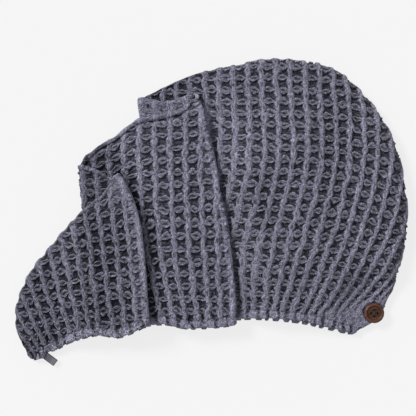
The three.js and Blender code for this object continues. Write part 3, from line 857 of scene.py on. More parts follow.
# Shade of the front panel: deep beside the tail's fold, at the crown edge, right of the second fold
# and under the button. Less shade in the gap, low on the hood, high on the middle and on the turns.
def frontShade(points, X, Y, toCrown, owner, turning):
    onHood, onMiddle, onTail = ((owner == n)[:, None] for n in (0, 2, 4))
    onTurn = (turning > 0)[:, None]
    past = pastFold(3, points)
    beside = (1 - ease((past - 2) / panelLook["gutter"])) * onMiddle
    shade = panelLook["gutterShade"] * beside
    shade = shade + panelLook["tailShade"] * ramp(-past, panelLook["tailRamp"]) * onTail
    right = ramp(X, panelLook["rightRamp"])
    edge = pastFold(1, points)
    atTop = 1 - ramp(Y, panelLook["gapTopRamp"])
    inGap = ease(1 - edge / (panelLook["gapWidth"] * (1 + atTop)))
    inGap = inGap * ease((edge + 6) / 4) * ramp(Y, panelLook["gapRamp"])
    onBeside = (1 - ramp(X, panelLook["besideRamp"])) * ramp(Y, panelLook["besideDown"])
    onBeside = onBeside * ease((edge - 6) / 4)
    onLow = ramp(X, panelLook["lowLightAcross"]) * ramp(Y, panelLook["lowLightDown"])
    onCrown = fade(toCrown, panelLook["crownShadeReach"]) * (1 - right)
    lowX = points[..., 0] - buttonCentre[0] + panelLook["buttonShadow"]
    lowY = points[..., 1] - buttonCentre[1] - panelLook["buttonShadow"]
    pastButton = np.hypot(lowX, lowY) - button["diameter"] / 2
    under = 1 - ease(pastButton / panelLook["buttonShadowSoft"])
    hoodShade = (
        panelLook["besideShade"] * onBeside
        + panelLook["crownShade"] * onCrown
        + panelLook["underButtonShade"] * under
        - panelLook["gapLight"] * (1 + panelLook["gapTopLight"] * atTop) * inGap
        - panelLook["lowLight"] * onLow
        - panelLook["rightLight"] * right
    )
    upperMiddle = (1 - ramp(Y, panelLook["middleRamp"])) * onMiddle
    onSide = 1 - ramp(turning[:, None], panelLook["sideRamp"])
    onSide = onTurn * (1 + panelLook["sideLight"] * onSide)
    shade = shade + hoodShade * onHood
    return shade - panelLook["middleLight"] * upperMiddle - panelLook["foldLight"] * onSide


# Shade of the back panel: ticks between the ridges on the strip, and deep shade inside the third
# fold
def backShade(points, P, toCrown, owner):
    tickWidth, tickHeight = panelLook["tickSize"]
    tick = bell(P % 1 - 0.5, tickWidth) * bell(toCrown - panelLook["tickPlace"], tickHeight)
    shade = panelLook["tickShade"] * tick * (owner == 1)[:, None]
    toTail = nearestOn(tailEdge, points[..., 0], points[..., 1])[0]
    deep = panelLook["pocketShade"] * (0.35 + fade(toTail, panelLook["pocketReach"]))
    return shade + deep * ramp(toCrown, panelLook["pocketEdge"]) * (owner == 3)[:, None]


# A panel of waffle cloth, or part of one: the middle surface plus half the wall and the weave on
# the outer face, less half the wall on the inner one
def makePanel(name, panel, stretches, rowCount, stepC, stepR):
    shares = np.linspace(0, 1, rowCount)
    start = cloth["hemWidth"]
    radii = [swells["hood"]["edge"], 2, swells["middle"]["edge"], 2, swells["tail"]["edge"]]
    if panel == "back":
        radii = [2] * 5

    def rowsOf(n, length):
        return rowDistances(length, start, radii[n], shares)

    points, unrolled, fromHem, owner, total, turning = panelGrid(panel, stretches, rowsOf)
    extra = (len(points) - 1) % stepC
    if extra:
        points, unrolled, fromHem, owner, total, turning = [
            a[: len(a) - extra] for a in (points, unrolled, fromHem, owner, total, turning)]
    outSign = -1 if panel == "front" else 1
    normal = gridNormals(points) * outSign
    P = np.zeros(points.shape[:2])
    Q = np.zeros(points.shape[:2])
    exposed = np.zeros(points.shape[:2])
    for n in np.unique(owner):
        here = owner == n
        P[here], Q[here] = weavePhases(n, unrolled[here], panel, fromHem[here])
        if panel == "front" and n in (0, 2, 4):
            exposed[here] = 1
        if panel == "front" and n == 0:
            exposed[here] = ease(pastFold(1, points[here]) / weave["puffReach"])
    eye = eyeOpening(unrolled)
    # Towards the hem the weave grows shallow, and on the tab round the button it is pressed flat
    toHem = fromHem - start
    toCrown = total[:, None] - fromHem
    seamDepth = panelLook["seamSmooth"]
    depth = seamDepth + (1 - seamDepth) * ease(toHem / panelLook["seamFade"])
    X, Y = pixelAt(points[..., 0], points[..., 1])
    onHood, onMiddle, onTail = ((owner == n)[:, None] for n in (0, 2, 4))
    tabLow = Y + panelLook["tabSlope"] * (X - panelLook["tabCorner"])
    tab = ramp(X, panelLook["tabAcross"]) * ramp(tabLow, panelLook["tabDown"]) * onHood
    depth = depth * (1 - (1 - panelLook["napeSmooth"]) * tab)
    if panel == "back":
        depth = np.where((owner == 1)[:, None], depth * panelLook["stripSmooth"], depth)
    # Round a fold the cloth is stretched, so its cells are shallow
    if panel == "front":
        for n, fold in ((2, 1), (4, 3)):
            near = 1 - ease(np.abs(pastFold(fold, points)) / panelLook["foldReach"])
            near = near * (owner == n)[:, None]
            depth = depth * (1 - (1 - panelLook["foldSmooth"]) * near)
    onTurn = (turning > 0)[:, None]
    depth = depth * (1 - panelLook["turnSmooth"] * onTurn)
    # It is shallow near the crown edges of the middle and the tail too, and at the tail's corner
    nearCrown = fade(toCrown, panelLook["crownSmoothReach"]) * (onMiddle | onTail)
    depth = depth * (1 - panelLook["crownSmooth"] * nearCrown)
    apexX, apexY = panelLook["tailTop"]
    atApex = bell(np.hypot(X - apexX, Y - apexY), panelLook["tailTopReach"]) * onTail
    depth = depth * (1 - panelLook["tailTopSmooth"] * atApex)
    tilt = eyeTilt(unrolled, fromHem)
    wide = ridgeWidth(unrolled, P)
    wide = wide * (1 + panelLook["lowWide"] * ramp(Y, panelLook["lowRamp"]) * onHood)
    height = weaveHeight(P, Q, eye, wide, tilt)
    crownLine = points[:, -1]
    points = points + crownShift(panel, points, P, X, toCrown, owner, turning)
    floor = weave["pit"]
    top = weave["top"] + weave["puff"] * exposed
    relief = floor + (top - floor) * (weave["flat"] * (1 - depth) + height * depth)
    crease = creaseOf(P[:, 0], lineLengths(points[:, 0]))[:, None]
    relief = relief - panelLook["gatherDepth"] * crease * fade(toHem, panelLook["gatherFade"])
    # The middle's and the tail's crown edges end in a lumpy roll behind a groove
    seamed = np.isin(owner, (2, 3, 4))[:, None]
    seam = np.where(owner == 4, panelLook["tailSeam"], panelLook["seam"])[:, None]
    crownGone = lineLengths(crownLine)[:, None]
    onRoll = (1 - ease((toCrown - 0.7 * seam) / (0.4 * seam))) * seamed
    lump = 0.5 + panelLook["lumpWave"] * np.cos(2 * math.pi * P[:, -1:])
    lump = lump + panelLook["lumpNoise"] * valueNoise(crownGone, toCrown, panelLook["lumpSize"], 8)
    rolled = top - panelLook["rollLow"] + panelLook["lumpHeight"] * lump
    relief = relief * (1 - onRoll) + rolled * onRoll
    groove = bell(toCrown - seam, panelLook["seamWidth"]) * seamed
    groove = groove * np.where(owner == 4, panelLook["tailGroove"], 1)[:, None]
    relief = relief - panelLook["seamDepth"] * groove * (0.4 + 0.6 * height)
    yarns = twoNoises(unrolled[..., 0], unrolled[..., 1], fuzzNoise, secondShare, 9)
    relief = relief + weave["fuzz"] * yarns
    relief = np.maximum(relief, weave["pit"])
    depth = depth * (1 - panelLook["rollSmooth"] * onRoll)
    # The face rounds over at the hem seam, at the crown edge and at the cut ends
    lip = roundOver(toHem + 0.15, panelLook["lip"]) * roundOver(toCrown + 0.05, panelLook["lip"])
    half = cloth["wall"] / 2
    outerOffset = -0.35 * half + (1.35 * half + relief) * lip
    outer = points + normal * outerOffset[..., None]
    innerPoints = points[::stepC, ::stepR]
    innerOffset = half * (0.35 + 0.65 * lip[::stepC, ::stepR])
    inner = innerPoints - normal[::stepC, ::stepR] * innerOffset[..., None]
    # Painted shade and painted light for the colour: painted shade in the seam's groove, between
    # the roll's lumps and in the gathers' creases, and painted light on the nape's tab and the
    # tail's roll, plus each panel's own painted shade and light below. The crease attribute carries
    # all of it to the colour, not only the creases.
    shade = groove + panelLook["rollShade"] * onRoll * (1 - lump)
    shade = shade + crease * fade(toHem, panelLook["creaseReach"]) - panelLook["tabLight"] * tab
    shade = shade - panelLook["tailRollLight"] * onRoll * onTail
    if panel == "front":
        shade = shade + frontShade(points, X, Y, toCrown, owner, turning)
    else:
        shade = shade + backShade(points, P, toCrown, owner)
    shade = np.clip(shade, *panelLook["shadeRange"])
    values = {"eye": eye, "depth": depth, "crease": shade, "wide": wide, "tilt": tilt}
    obj = closedSheet(name, outer, inner, stepC, stepR, (P, Q), values, panel == "back")
    obj["flatArea"] = gridArea(points)
    return obj


# A hem band: the cloth's edge doubled over, puffed between its creases, with a scalloped edge. It
# runs on under the panel, so no light comes through the seam.
hemLook = {
    "puff": 0.9,
    "crease": 2.0,
    "tailSmooth": 0.35,  # how much shallower the creases are on the tail
    "scallop": 1.5,      # how far the edge draws in at a crease
    "bead": 2.1,         # how far the back band's gathers stand out past the front ones
    "drawn": 0.9,        # and how far its edge draws in elsewhere
    "wobble": 0.16,      # how far the creases stray over the band, as a share of a gather
    "wobbleSize": 3.4,
    "uneven": 0.5,       # how far the front band's edge strays
    "unevenSize": 3.6,
    "lip": 1.3,
    "wrinkle": 0.42,
    "wrinkleSizes": (2.3, 1.3),
    "phase": 10.5,       # mm of the band to one step of its second UV axis
    "hoodTangle": 0.35,  # share of the tail's loops that the hood's band has
    "stitched": 1.0,     # how clear the line of stitches is, on the middle
    "tuck": 1.4,         # how far it runs on under the panel
    "tuckDepth": 1.2,
}


# The middle surface plus the puff less the creases and the tuck on the outer face, and less part of
# the wall on the inner one
def makeHem(name, panel, stretches, rowCount, stepC, stepR):
    shares = np.linspace(0, 1, rowCount)
    width = cloth["hemWidth"]

    def rowsOf(n, length):
        distance = shares[None, :] * (width + hemLook["tuck"])
        return np.broadcast_to(distance, (len(length), rowCount)).copy()

    points, unrolled, fromHem, owner, total, turning = panelGrid(panel, stretches, rowsOf)
    extra = (len(points) - 1) % stepC
    if extra:
        points, unrolled, fromHem, owner = [
            a[: len(a) - extra] for a in (points, unrolled, fromHem, owner)]
    outSign = -1 if panel == "front" else 1
    normal = gridNormals(points) * outSign
    P = np.zeros(points.shape[:2])
    for n in np.unique(owner):
        here = owner == n
        P[here] = weavePhases(n, unrolled[here], panel, fromHem[here])[0]
    if panel == "back":
        P = P + 0.5
    gone = lineLengths(points[:, 0])[:, None] + 0 * fromHem
    across = np.clip(fromHem / width, 0, 1)
    wobble = hemLook["wobble"] * valueNoise(gone, fromHem, hemLook["wobbleSize"], 14)
    crease = creaseOf(P + wobble * (1 - across), gone)
    if panel == "front":
        crease = crease * (1 - hemLook["tailSmooth"] * (owner == 4)[:, None])
    outward = points[:, :1] - points[:, -1:]
    outward /= np.linalg.norm(outward, axis=-1)[..., None]
    if panel == "back":
        stick = hemLook["bead"] * (1 - crease) ** 3 - hemLook["drawn"]
    else:
        stick = hemLook["uneven"] * valueNoise(gone, gone * 0, hemLook["unevenSize"], 13)
    reach = (stick - hemLook["scallop"] * crease) * (1 - across) ** 1.5
    points = points + outward * reach[..., None]
    lip = roundOver(fromHem + 0.1, hemLook["lip"])
    half = cloth["wall"] / 2
    bulge = np.sin(math.pi * across) ** 0.6
    offset = half * 0.8 + hemLook["puff"] * bulge * (1 - crease)
    offset = offset - hemLook["crease"] * crease * (0.55 + 0.45 * across)
    tucked = ease((fromHem - width + 0.4) / (0.4 + hemLook["tuck"]))
    wrinkle = valueNoise(gone, fromHem * 0.6, hemLook["wrinkleSizes"][0], 11)
    wrinkle = wrinkle + secondShare * valueNoise(gone, fromHem, hemLook["wrinkleSizes"][1], 12)
    offset = offset - hemLook["tuckDepth"] * tucked + hemLook["wrinkle"] * wrinkle
    outer = points + normal * (-0.3 * half + (0.3 * half + offset) * lip)[..., None]
    innerNormal = normal[::stepC, ::stepR]
    innerOffset = half * (0.3 + 0.6 * lip[::stepC, ::stepR])
    inner = points[::stepC, ::stepR] - innerNormal * innerOffset[..., None]
    stitched = np.isin(owner, (1, 2, 3))[:, None] * hemLook["stitched"] + 0 * across
    tangled = (owner == 4)[:, None] + hemLook["hoodTangle"] * (owner == 0)[:, None] + 0 * across
    values = {"crease": crease, "depth": across, "stitched": stitched, "tangled": tangled}
    phases = (P, fromHem / hemLook["phase"])
    return closedSheet(name, outer, inner, stepC, stepR, phases, values, panel == "back")


coarse = 1
step = 6  # outer columns and rows to one inner one


def counted(count):
    return max(2, int(round(count / coarse)))


# Rows in whole steps
def rowsIn(count):
    return counted(count) // step * step + 1


# A stretch of cloth over a segment's share from start to end
def over(n, start, end, count):
    return ("sheet", n, start, end, count)


# A turn of cloth round a fold
def turnAt(n, count):
    return ("turn", n, 0, 0, count)


frontHood = makePanel("front_panel_hood", "front", [
    over(0, 0, 1, counted(356)), turnAt(0, 3), over(1, 0, 0.5, 6),
], rowsIn(252), step, step)
frontMiddle = makePanel("front_panel_middle", "front", [
    over(1, 0.51, 1, 7), turnAt(1, counted(22)), over(2, 0, 1, counted(190)),
    turnAt(2, 3), over(3, 0, 0.5, 5),
], rowsIn(282), step, step)
frontTail = makePanel("front_panel_tail", "front", [
    over(3, 0.51, 1, 7), turnAt(3, counted(22)), over(4, 0, 1, counted(214)),
], rowsIn(216), step, step)
print("towel: front panel made")

backPanel = makePanel("back_panel_all", "back", [
    over(0, 0, 1, counted(236)), turnAt(0, counted(14)), over(1, 0, 1, counted(48)),
    turnAt(1, 5), over(2, 0, 1, counted(90)), turnAt(2, counted(14)),
    over(3, 0, 1, counted(44)), turnAt(3, 5), over(4, 0, 1, counted(96)),
], rowsIn(162), step, step)
print("towel: back panel made")

hemStretches = [
    over(0, 0, 1, counted(500)), turnAt(0, counted(12)), over(1, 0, 1, counted(50)),
    turnAt(1, counted(22)), over(2, 0, 1, counted(330)), turnAt(2, counted(12)),
    over(3, 0, 1, counted(40)), turnAt(3, counted(22)), over(4, 0, 1, counted(300)),
]
frontHem = makeHem("front_hem_band", "front", hemStretches, 25, 3, step)
backHem = makeHem("back_hem_band", "back", hemStretches, 25, 3, step)
print("towel: hems made")


# Closed mesh from rings of points, with a flat face at each end
def sweptMesh(name, rings, closedEnds=True):
    count, sides = rings.shape[:2]
    index = np.arange(count * sides).reshape(count, sides)
    following = np.roll(index, -1, axis=1)
    faces = np.stack([index[:-1], following[:-1], following[1:], index[1:]], -1)
    faces = faces.reshape(-1, 4).tolist()
    if closedEnds:
        faces += [index[0][::-1].tolist(), index[-1].tolist()]
    mesh = bpy.data.meshes.new(name)
    mesh.from_pydata(((rings.reshape(-1, 3) + shift) * metre).tolist(), [], faces)
    mesh.update()
    obj = bpy.data.objects.new(name, mesh)
    bpy.context.scene.collection.objects.link(obj)
    return obj


# Button: a profile of radius and height turned round the button's own axis, as one ring per
# profile point
def makeButton():
    outer = button["diameter"] / 2
    thick = button["thickness"]
    dish = thick - button["dish"]
    rim = outer - button["rimWidth"]
    corner = np.linspace(0, math.pi / 2, 7)
    under, top, lip = button["underRound"], button["topRound"], button["rimRound"]
    wide, deep = button["dishRound"]

    # Part of a quarter round about a centre, by its half axes
    def rounded(x, z, across, up, angles):
        return [(x + across * math.cos(c), z + up * math.sin(c)) for c in angles]

    profile = [(0.01, 0.0), (outer - 2.2, 0.0)]
    profile += rounded(outer - under, under, under, under, corner - math.pi / 2)
    profile += rounded(outer - top, thick - top, top, top, corner)
    profile += rounded(rim + lip, thick - lip, lip, lip, corner[:5] + math.pi / 2)
    profile += rounded(rim - wide, dish + deep, wide, -deep, corner[1:])
    profile += [(2.5, dish + 0.05), (0.01, dish + 0.1)]
    radius = np.array([p[0] for p in profile])[:, None]
    height = np.array([p[1] for p in profile])[:, None]
    angle = np.linspace(0, 2 * math.pi, 96, endpoint=False)[None, :]
    base = cloth["wall"] + pitch + cloth["pieceGap"]
    rings = np.stack([
        buttonCentre[0] + radius * np.cos(angle),
        buttonCentre[1] + radius * np.sin(angle),
        base + height + 0 * angle,
    ], -1)
    body = sweptMesh("button_turned", rings)
    for n in range(4):
        turn = n * math.pi / 2
        place = buttonCentre + button["holeCircle"] / 2 * np.array([math.cos(turn), math.sin(turn)])
        ring = np.linspace(0, 2 * math.pi, 24, endpoint=False)[None, :]
        drillRadius = np.full((2, 1), button["hole"] / 2)
        drill = sweptMesh("drill", np.stack([
            place[0] + drillRadius * np.cos(ring),
            place[1] + drillRadius * np.sin(ring),
            np.array([[base - 1.0], [base + thick + 1.0]]) + 0 * ring,
        ], -1))
        cut = body.modifiers.new("hole", "BOOLEAN")
        cut.operation = "DIFFERENCE"
        cut.solver = "EXACT"
        cut.object = drill
        graph = bpy.context.evaluated_depsgraph_get()
        made = bpy.data.meshes.new_from_object(body.evaluated_get(graph))
        body.modifiers.clear()
        body.data = made
        bpy.data.objects.remove(drill)
    body.data.shade_smooth()
    body.data.set_sharp_from_angle(angle=math.radians(35))
    return body


# Tube along a path: rings square to the path at each of its points
def tubeRings(path, radius, sides):
    along = np.gradient(path, axis=0)
    along /= np.linalg.norm(along, axis=1)[:, None]
    side = np.cross(along, [0.0, 0.0, 1.0])
    weak = np.linalg.norm(side, axis=1) < 1e-6
    side[weak] = side[~weak][0]
    side /= np.linalg.norm(side, axis=1)[:, None]
    up = np.cross(side, along)
    angle = np.linspace(0, 2 * math.pi, sides, endpoint=False)
    ring = side[:, None] * np.cos(angle)[None, :, None] + up[:, None] * np.sin(angle)[None, :, None]
    return path[:, None] + ring * radius


# Thread: strands up one hole, across the dish in a low arch and down the opposite hole
def makeThread():
    base = cloth["wall"] + pitch + cloth["pieceGap"]
    face = base + button["thickness"] - button["dish"]
    strands = []
    for bar, lift in ((0, 0.42), (1, 0.95)):
        turn = bar * math.pi / 2
        along = np.array([math.cos(turn), math.sin(turn)])
        side = np.array([-along[1], along[0]])
        for lane in (-0.5, 0.5):
            t = np.linspace(-1, 1, 41)
            reach = (button["holeCircle"] / 2 - 0.45) * np.clip(t * 1.25, -1, 1)
            drop = np.clip((np.abs(t) - 0.72) / 0.28, 0, 1)
            height = face + lift * np.cos(t * 1.25) - drop**1.5 * 2.4
            path = np.stack([
                buttonCentre[0] + along[0] * reach + side[0] * lane * 0.44,
                buttonCentre[1] + along[1] * reach + side[1] * lane * 0.44,
                height,
            ], -1)
            strands.append(sweptMesh("strand", tubeRings(path, 0.22, 10)))
    return joined("button_thread_strands", strands)


# Several meshes in one object, with a vertex offset for each
def joined(name, parts):
    points, faces = [], []
    for part in parts:
        offset = len(points)
        points += [tuple(v.co) for v in part.data.vertices]
        faces += [[offset + i for i in p.vertices] for p in part.data.polygons]
        bpy.data.objects.remove(part)
    mesh = bpy.data.meshes.new(name)
    mesh.from_pydata(points, [], faces)
    mesh.update()
    mesh.shade_smooth()
    obj = bpy.data.objects.new(name, mesh)
    bpy.context.scene.collection.objects.link(obj)
    return obj


# Elastic: a flat band bent into a hairpin, with lengthwise ribs, mm
elastic = {
    "width": 6.4, "thickness": 1.0, "slot": 1.2, "reach": 10.5,
    "root": 3.5,   # how far it runs on under the hem
    "aside": 1.2,
    "ribs": 8, "ribHeight": 0.07,
}


# Middle of the elastic's root on the hem, and the way along the hem there: the tail's last row
def elasticRoot():
    tip = ribAt(fourthFoldToTip, np.array([7.0, 8.0]) / 8)[0]
    along = (tip[1] - tip[0]) / np.linalg.norm(tip[1] - tip[0])
    return tip.mean(axis=0) + along * elastic["aside"], along


# Each ring is the band's section, its thickness turned square to the hairpin's path
def makeElastic():
    root, along = elasticRoot()
    out = np.array([-along[1], along[0]])
    root = root + out * cloth["pieceGap"]
    middle = (elastic["slot"] + elastic["thickness"]) / 2
    straight = elastic["reach"] - middle - elastic["thickness"] / 2
    bend = np.linspace(-math.pi / 2, math.pi / 2, 17)
    leg = np.linspace(-elastic["root"], straight, 14)
    reach = np.concatenate([leg[:-1], straight + middle * np.cos(bend), leg[::-1][1:]])
    apart = middle * (0.25 + 0.75 * ease((leg[:-1] + elastic["root"]) / elastic["root"]))
    height = np.concatenate([-apart, middle * np.sin(bend), apart[::-1]])
    step = np.stack([np.gradient(reach), np.gradient(height)], -1)
    step /= np.linalg.norm(step, axis=1)[:, None]
    outward = np.stack([step[:, 1], -step[:, 0]], -1)
    across = np.linspace(-0.5, 0.5, 49)
    ribs = elastic["ribHeight"] * np.cos(2 * math.pi * elastic["ribs"] * across)
    thin = roundOver((0.5 - np.abs(across)) * elastic["width"] + 0.03, 0.5)
    face = (elastic["thickness"] / 2 - elastic["ribHeight"] + ribs) * thin
    section = np.concatenate([
        np.stack([across * elastic["width"], face], -1),
        np.stack([across[::-1] * elastic["width"], -face[::-1]], -1),
    ])
    sideways = np.array([-out[1], out[0]])
    level = cloth["wall"] + cloth["layerGap"] / 2
    offset = section[None, :, 1]
    ahead = reach[:, None] + outward[:, :1] * offset
    beside = section[None, :, 0]
    rings = np.stack([
        root[0] + out[0] * ahead + sideways[0] * beside,
        root[1] + out[1] * ahead + sideways[1] * beside,
        level + height[:, None] + outward[:, 1:] * offset + 0 * beside,
    ], -1)
    obj = sweptMesh("elastic_band", rings)
    obj.data.shade_smooth()
    obj.data.set_sharp_from_angle(angle=math.radians(50))
    return obj


buttonPiece = makeButton()
threadPiece = makeThread()
elasticPiece = makeElastic()
print("towel: button, thread and elastic made")


# A number or a colour in a material's node tree. + - * / on numbers add Math nodes to the tree.
class NodeValue:
    def __init__(self, tree, socket):
        self.tree = tree
        self.socket = socket

    def __add__(self, other):
        return calculate("ADD", self, other)

    def __sub__(self, other):
        return calculate("SUBTRACT", self, other)

    def __rsub__(self, other):
        return calculate("SUBTRACT", other, self)

    def __mul__(self, other):
        return calculate("MULTIPLY", self, other)

    def __truediv__(self, other):
        return calculate("DIVIDE", self, other)


# An empty material with its shader linked to the output
def newMaterial(name):
    material = bpy.data.materials.new(name)
    material.use_nodes = True
    tree = material.node_tree
    tree.nodes.clear()
    output = tree.nodes.new("ShaderNodeOutputMaterial")
    shader = tree.nodes.new("ShaderNodeBsdfPrincipled")
    tree.links.new(shader.outputs[0], output.inputs[0])
    return material, tree, shader


# Links a node's value to a socket, or sets a plain one on it
def feed(socket, value):
    if isinstance(value, NodeValue):
        value.tree.links.new(value.socket, socket)
    else:
        socket.default_value = value


# One Math node
def calculate(operation, *values):
    tree = next(value.tree for value in values if isinstance(value, NodeValue))
    node = tree.nodes.new("ShaderNodeMath")
    node.operation = operation
    for socket, value in zip(node.inputs, values):
        feed(socket, value)
    return NodeValue(tree, node.outputs[0])


# Sine of 2 pi times a value
def waveOf(value):
    return calculate("SINE", value * (2 * math.pi))


# A value's distance from zero
def sizeOf(value):
    return calculate("ABSOLUTE", value)


# Smooth step from toLow at low to toHigh at high
def rangeOf(value, low, high, toLow=0.0, toHigh=1.0):
    node = value.tree.nodes.new("ShaderNodeMapRange")
    node.interpolation_type = "SMOOTHSTEP"
    for socket, entry in zip(node.inputs, (value, low, high, toLow, toHigh)):
        feed(socket, entry)
    return NodeValue(value.tree, node.outputs[0])


# Noise about one half at a place of the tree
def noiseOf(place, scale, detail=3.0, rough=0.55):
    node = place.tree.nodes.new("ShaderNodeTexNoise")
    feed(node.inputs["Vector"], place)
    node.inputs["Scale"].default_value = scale
    node.inputs["Detail"].default_value = detail
    node.inputs["Roughness"].default_value = rough
    return NodeValue(place.tree, node.outputs["Fac"])


# Colour between two others, also past them
def mixColours(share, first, second):
    node = share.tree.nodes.new("ShaderNodeMix")
    node.data_type = "RGBA"
    node.clamp_factor = False
    feed(node.inputs["Factor"], share)
    feed(node.inputs[6], first)
    feed(node.inputs[7], second)
    return NodeValue(share.tree, node.outputs[2])


# A number from the piece's own attribute
def attributeOf(tree, name):
    node = tree.nodes.new("ShaderNodeAttribute")
    node.attribute_name = name
    return NodeValue(tree, node.outputs["Fac"])


# Normal bent by a height, over a distance in metres
def bumpOf(height, distance):
    node = height.tree.nodes.new("ShaderNodeBump")
    node.inputs["Strength"].default_value = 1.0
    node.inputs["Distance"].default_value = distance
    feed(node.inputs["Height"], height)
    return NodeValue(height.tree, node.outputs[0])


# Place in the piece's Object coordinates
def objectPlace(tree):
    return NodeValue(tree, tree.nodes.new("ShaderNodeTexCoord").outputs["Object"])


# The parts of a vector along its axes
def partsOf(vector):
    node = vector.tree.nodes.new("ShaderNodeSeparateXYZ")
    feed(node.inputs[0], vector)
    return [NodeValue(vector.tree, socket) for socket in node.outputs]


# Place counted from a centre, mm, along axes turned by an angle
def placeFrom(tree, centre, angle):
    node = tree.nodes.new("ShaderNodeMapping")
    node.vector_type = "TEXTURE"
    node.inputs["Location"].default_value = ((np.append(centre, 0.0) + shift) * metre).tolist()
    node.inputs["Rotation"].default_value = (0, 0, angle)
    feed(node.inputs["Vector"], objectPlace(tree))
    return NodeValue(tree, node.outputs[0])


# A vector times another, or its length
def vectorOf(operation, vector, factors=None):
    node = vector.tree.nodes.new("ShaderNodeVectorMath")
    node.operation = operation
    feed(node.inputs[0], vector)
    if factors:
        node.inputs[1].default_value = factors
    return NodeValue(vector.tree, node.outputs["Value" if operation == "LENGTH" else "Vector"])


# Cotton: the same yarn in panels and hems. Tone 0 is the bottom of a cell and 1 the top of a ridge;
# the dark colour at low tones is painted shade deep in the cells and creases.
cotton = {
    "light": (0.32, 0.312, 0.418, 1),
    "dark": (0.014, 0.0135, 0.026, 1),
    "strands": 8.5,       # strands side by side in a cell
    "strandBreaks": 2.6,  # and how often each breaks along a cell
    "strandTone": 3.4,
    "fuzz": 560.0,        # grains to a metre
    "fuzzTone": 2.4,
    "loops": 300.0,
    "loopTone": 0.55,
    "loopWidth": 0.055,
    "patches": 26.0,
    "patchTone": 0.2,
    "lowRough": 0.25,     # share of the roughness that tone 0 has
    "highRough": 0.4,     # and how much more tone 1 has
    "brightest": 1.7,
    "cellBump": 0.9,
    "roughBump": 0.7,
    "bump": 0.0013,       # metres
}


# Phases of the weave across and along, from the piece's UV map
def weavePlace(tree):
    uv = tree.nodes.new("ShaderNodeUVMap")
    uv.uv_map = "weave"
    return partsOf(NodeValue(tree, uv.outputs[0]))[:2]


# Noise drawn out into strands that run up the cells, or across them
def strandsOf(P, Q, alongP, alongQ, lift):
    node = P.tree.nodes.new("ShaderNodeCombineXYZ")
    feed(node.inputs[0], P * alongP)
    feed(node.inputs[1], Q * alongQ)
    node.inputs[2].default_value = lift
    return noiseOf(NodeValue(P.tree, node.outputs[0]), 1.0, 2.0, 0.6)


# Roughness of the cotton about zero: strands, grains, and thin loops on the level lines of a noise
def cottonRough(tree, P, Q, upright):
    place = objectPlace(tree)
    many, few = cotton["strands"], cotton["strandBreaks"]
    node = tree.nodes.new("ShaderNodeMix")
    feed(node.inputs["Factor"], upright)
    feed(node.inputs[2], strandsOf(P, Q, few, many, 0.0))
    feed(node.inputs[3], strandsOf(P, Q, many, few, 7.0))
    strand = NodeValue(tree, node.outputs[0]) - 0.5
    fuzz = noiseOf(place, cotton["fuzz"], 2.0, 0.65) - 0.5
    level = noiseOf(place, cotton["loops"], 1.0, 0.5) - 0.5
    loop = rangeOf(sizeOf(level), 0.0, cotton["loopWidth"], 1.0, 0.0) - 0.3
    return strand * cotton["strandTone"] + fuzz * cotton["fuzzTone"] + loop * cotton["loopTone"]


# Colour and bump of the cotton from its cells and its roughness
def cottonSurface(tree, shader, cells, rough):
    patch = noiseOf(objectPlace(tree), cotton["patches"], 3.0, 0.5) - 0.5
    tone = cells + rough * (cells * cotton["highRough"] + cotton["lowRough"])
    tone = calculate("MAXIMUM", tone + patch * cotton["patchTone"], 0.0)
    tone = calculate("MINIMUM", tone, cotton["brightest"])
    feed(shader.inputs["Base Color"], mixColours(tone, cotton["dark"], cotton["light"]))
    bump = rough * cotton["roughBump"] + cells * cotton["cellBump"]
    feed(shader.inputs["Normal"], bumpOf(bump, cotton["bump"]))
    shader.inputs["Roughness"].default_value = 0.95
    shader.inputs["Specular IOR Level"].default_value = 0.15
    shader.inputs["Sheen Weight"].default_value = 0.12
    shader.inputs["Sheen Roughness"].default_value = 0.5


# Waffle cloth: the weave's own formula again, so colour and fine bump follow the modelled cells.
# Its colour darkens into the cells, beside the arcs, in the eyes' middles and in the ridges' slits
# as painted shade.
waffle = {
    "ragged": 0.45,       # how far noise pushes the ridges' and arcs' edges, as a share of width
    "arcTone": 1.5,
    "arcWidth": 0.82,     # how much of an arc's width is light
    "upperArc": 0.76,     # the upper arc's tone, as a share of the lower one's
    "ridgeTone": 0.85,
    "ridgeSide": (0.75, 1.35),
    "slitTone": 0.5,      # how dark a ridge's strands part between crossings, here and there
    "slitSide": (0.1, 0.5), "slitEnd": (0.08, 0.32), "slitPatches": 95.0,
    "eyeTone": 0.62,
    "under": 0.14,        # width of the shade round an eye, as a share of a cell
    "floorTone": 0.15,
    # painted shade in the eye's middle, which is a pit in the modelled weave
    "pupilTone": 0.52,    # how much darker an eye's middle is
    "pupilSize": (0.2, 0.1), "pupilRagged": 2.5, "pupilSide": (0.1, 1.3),
    "flatTone": 0.8,      # tone of the cloth where the weave has no depth
    "paintedShadeTone": 0.55,
}
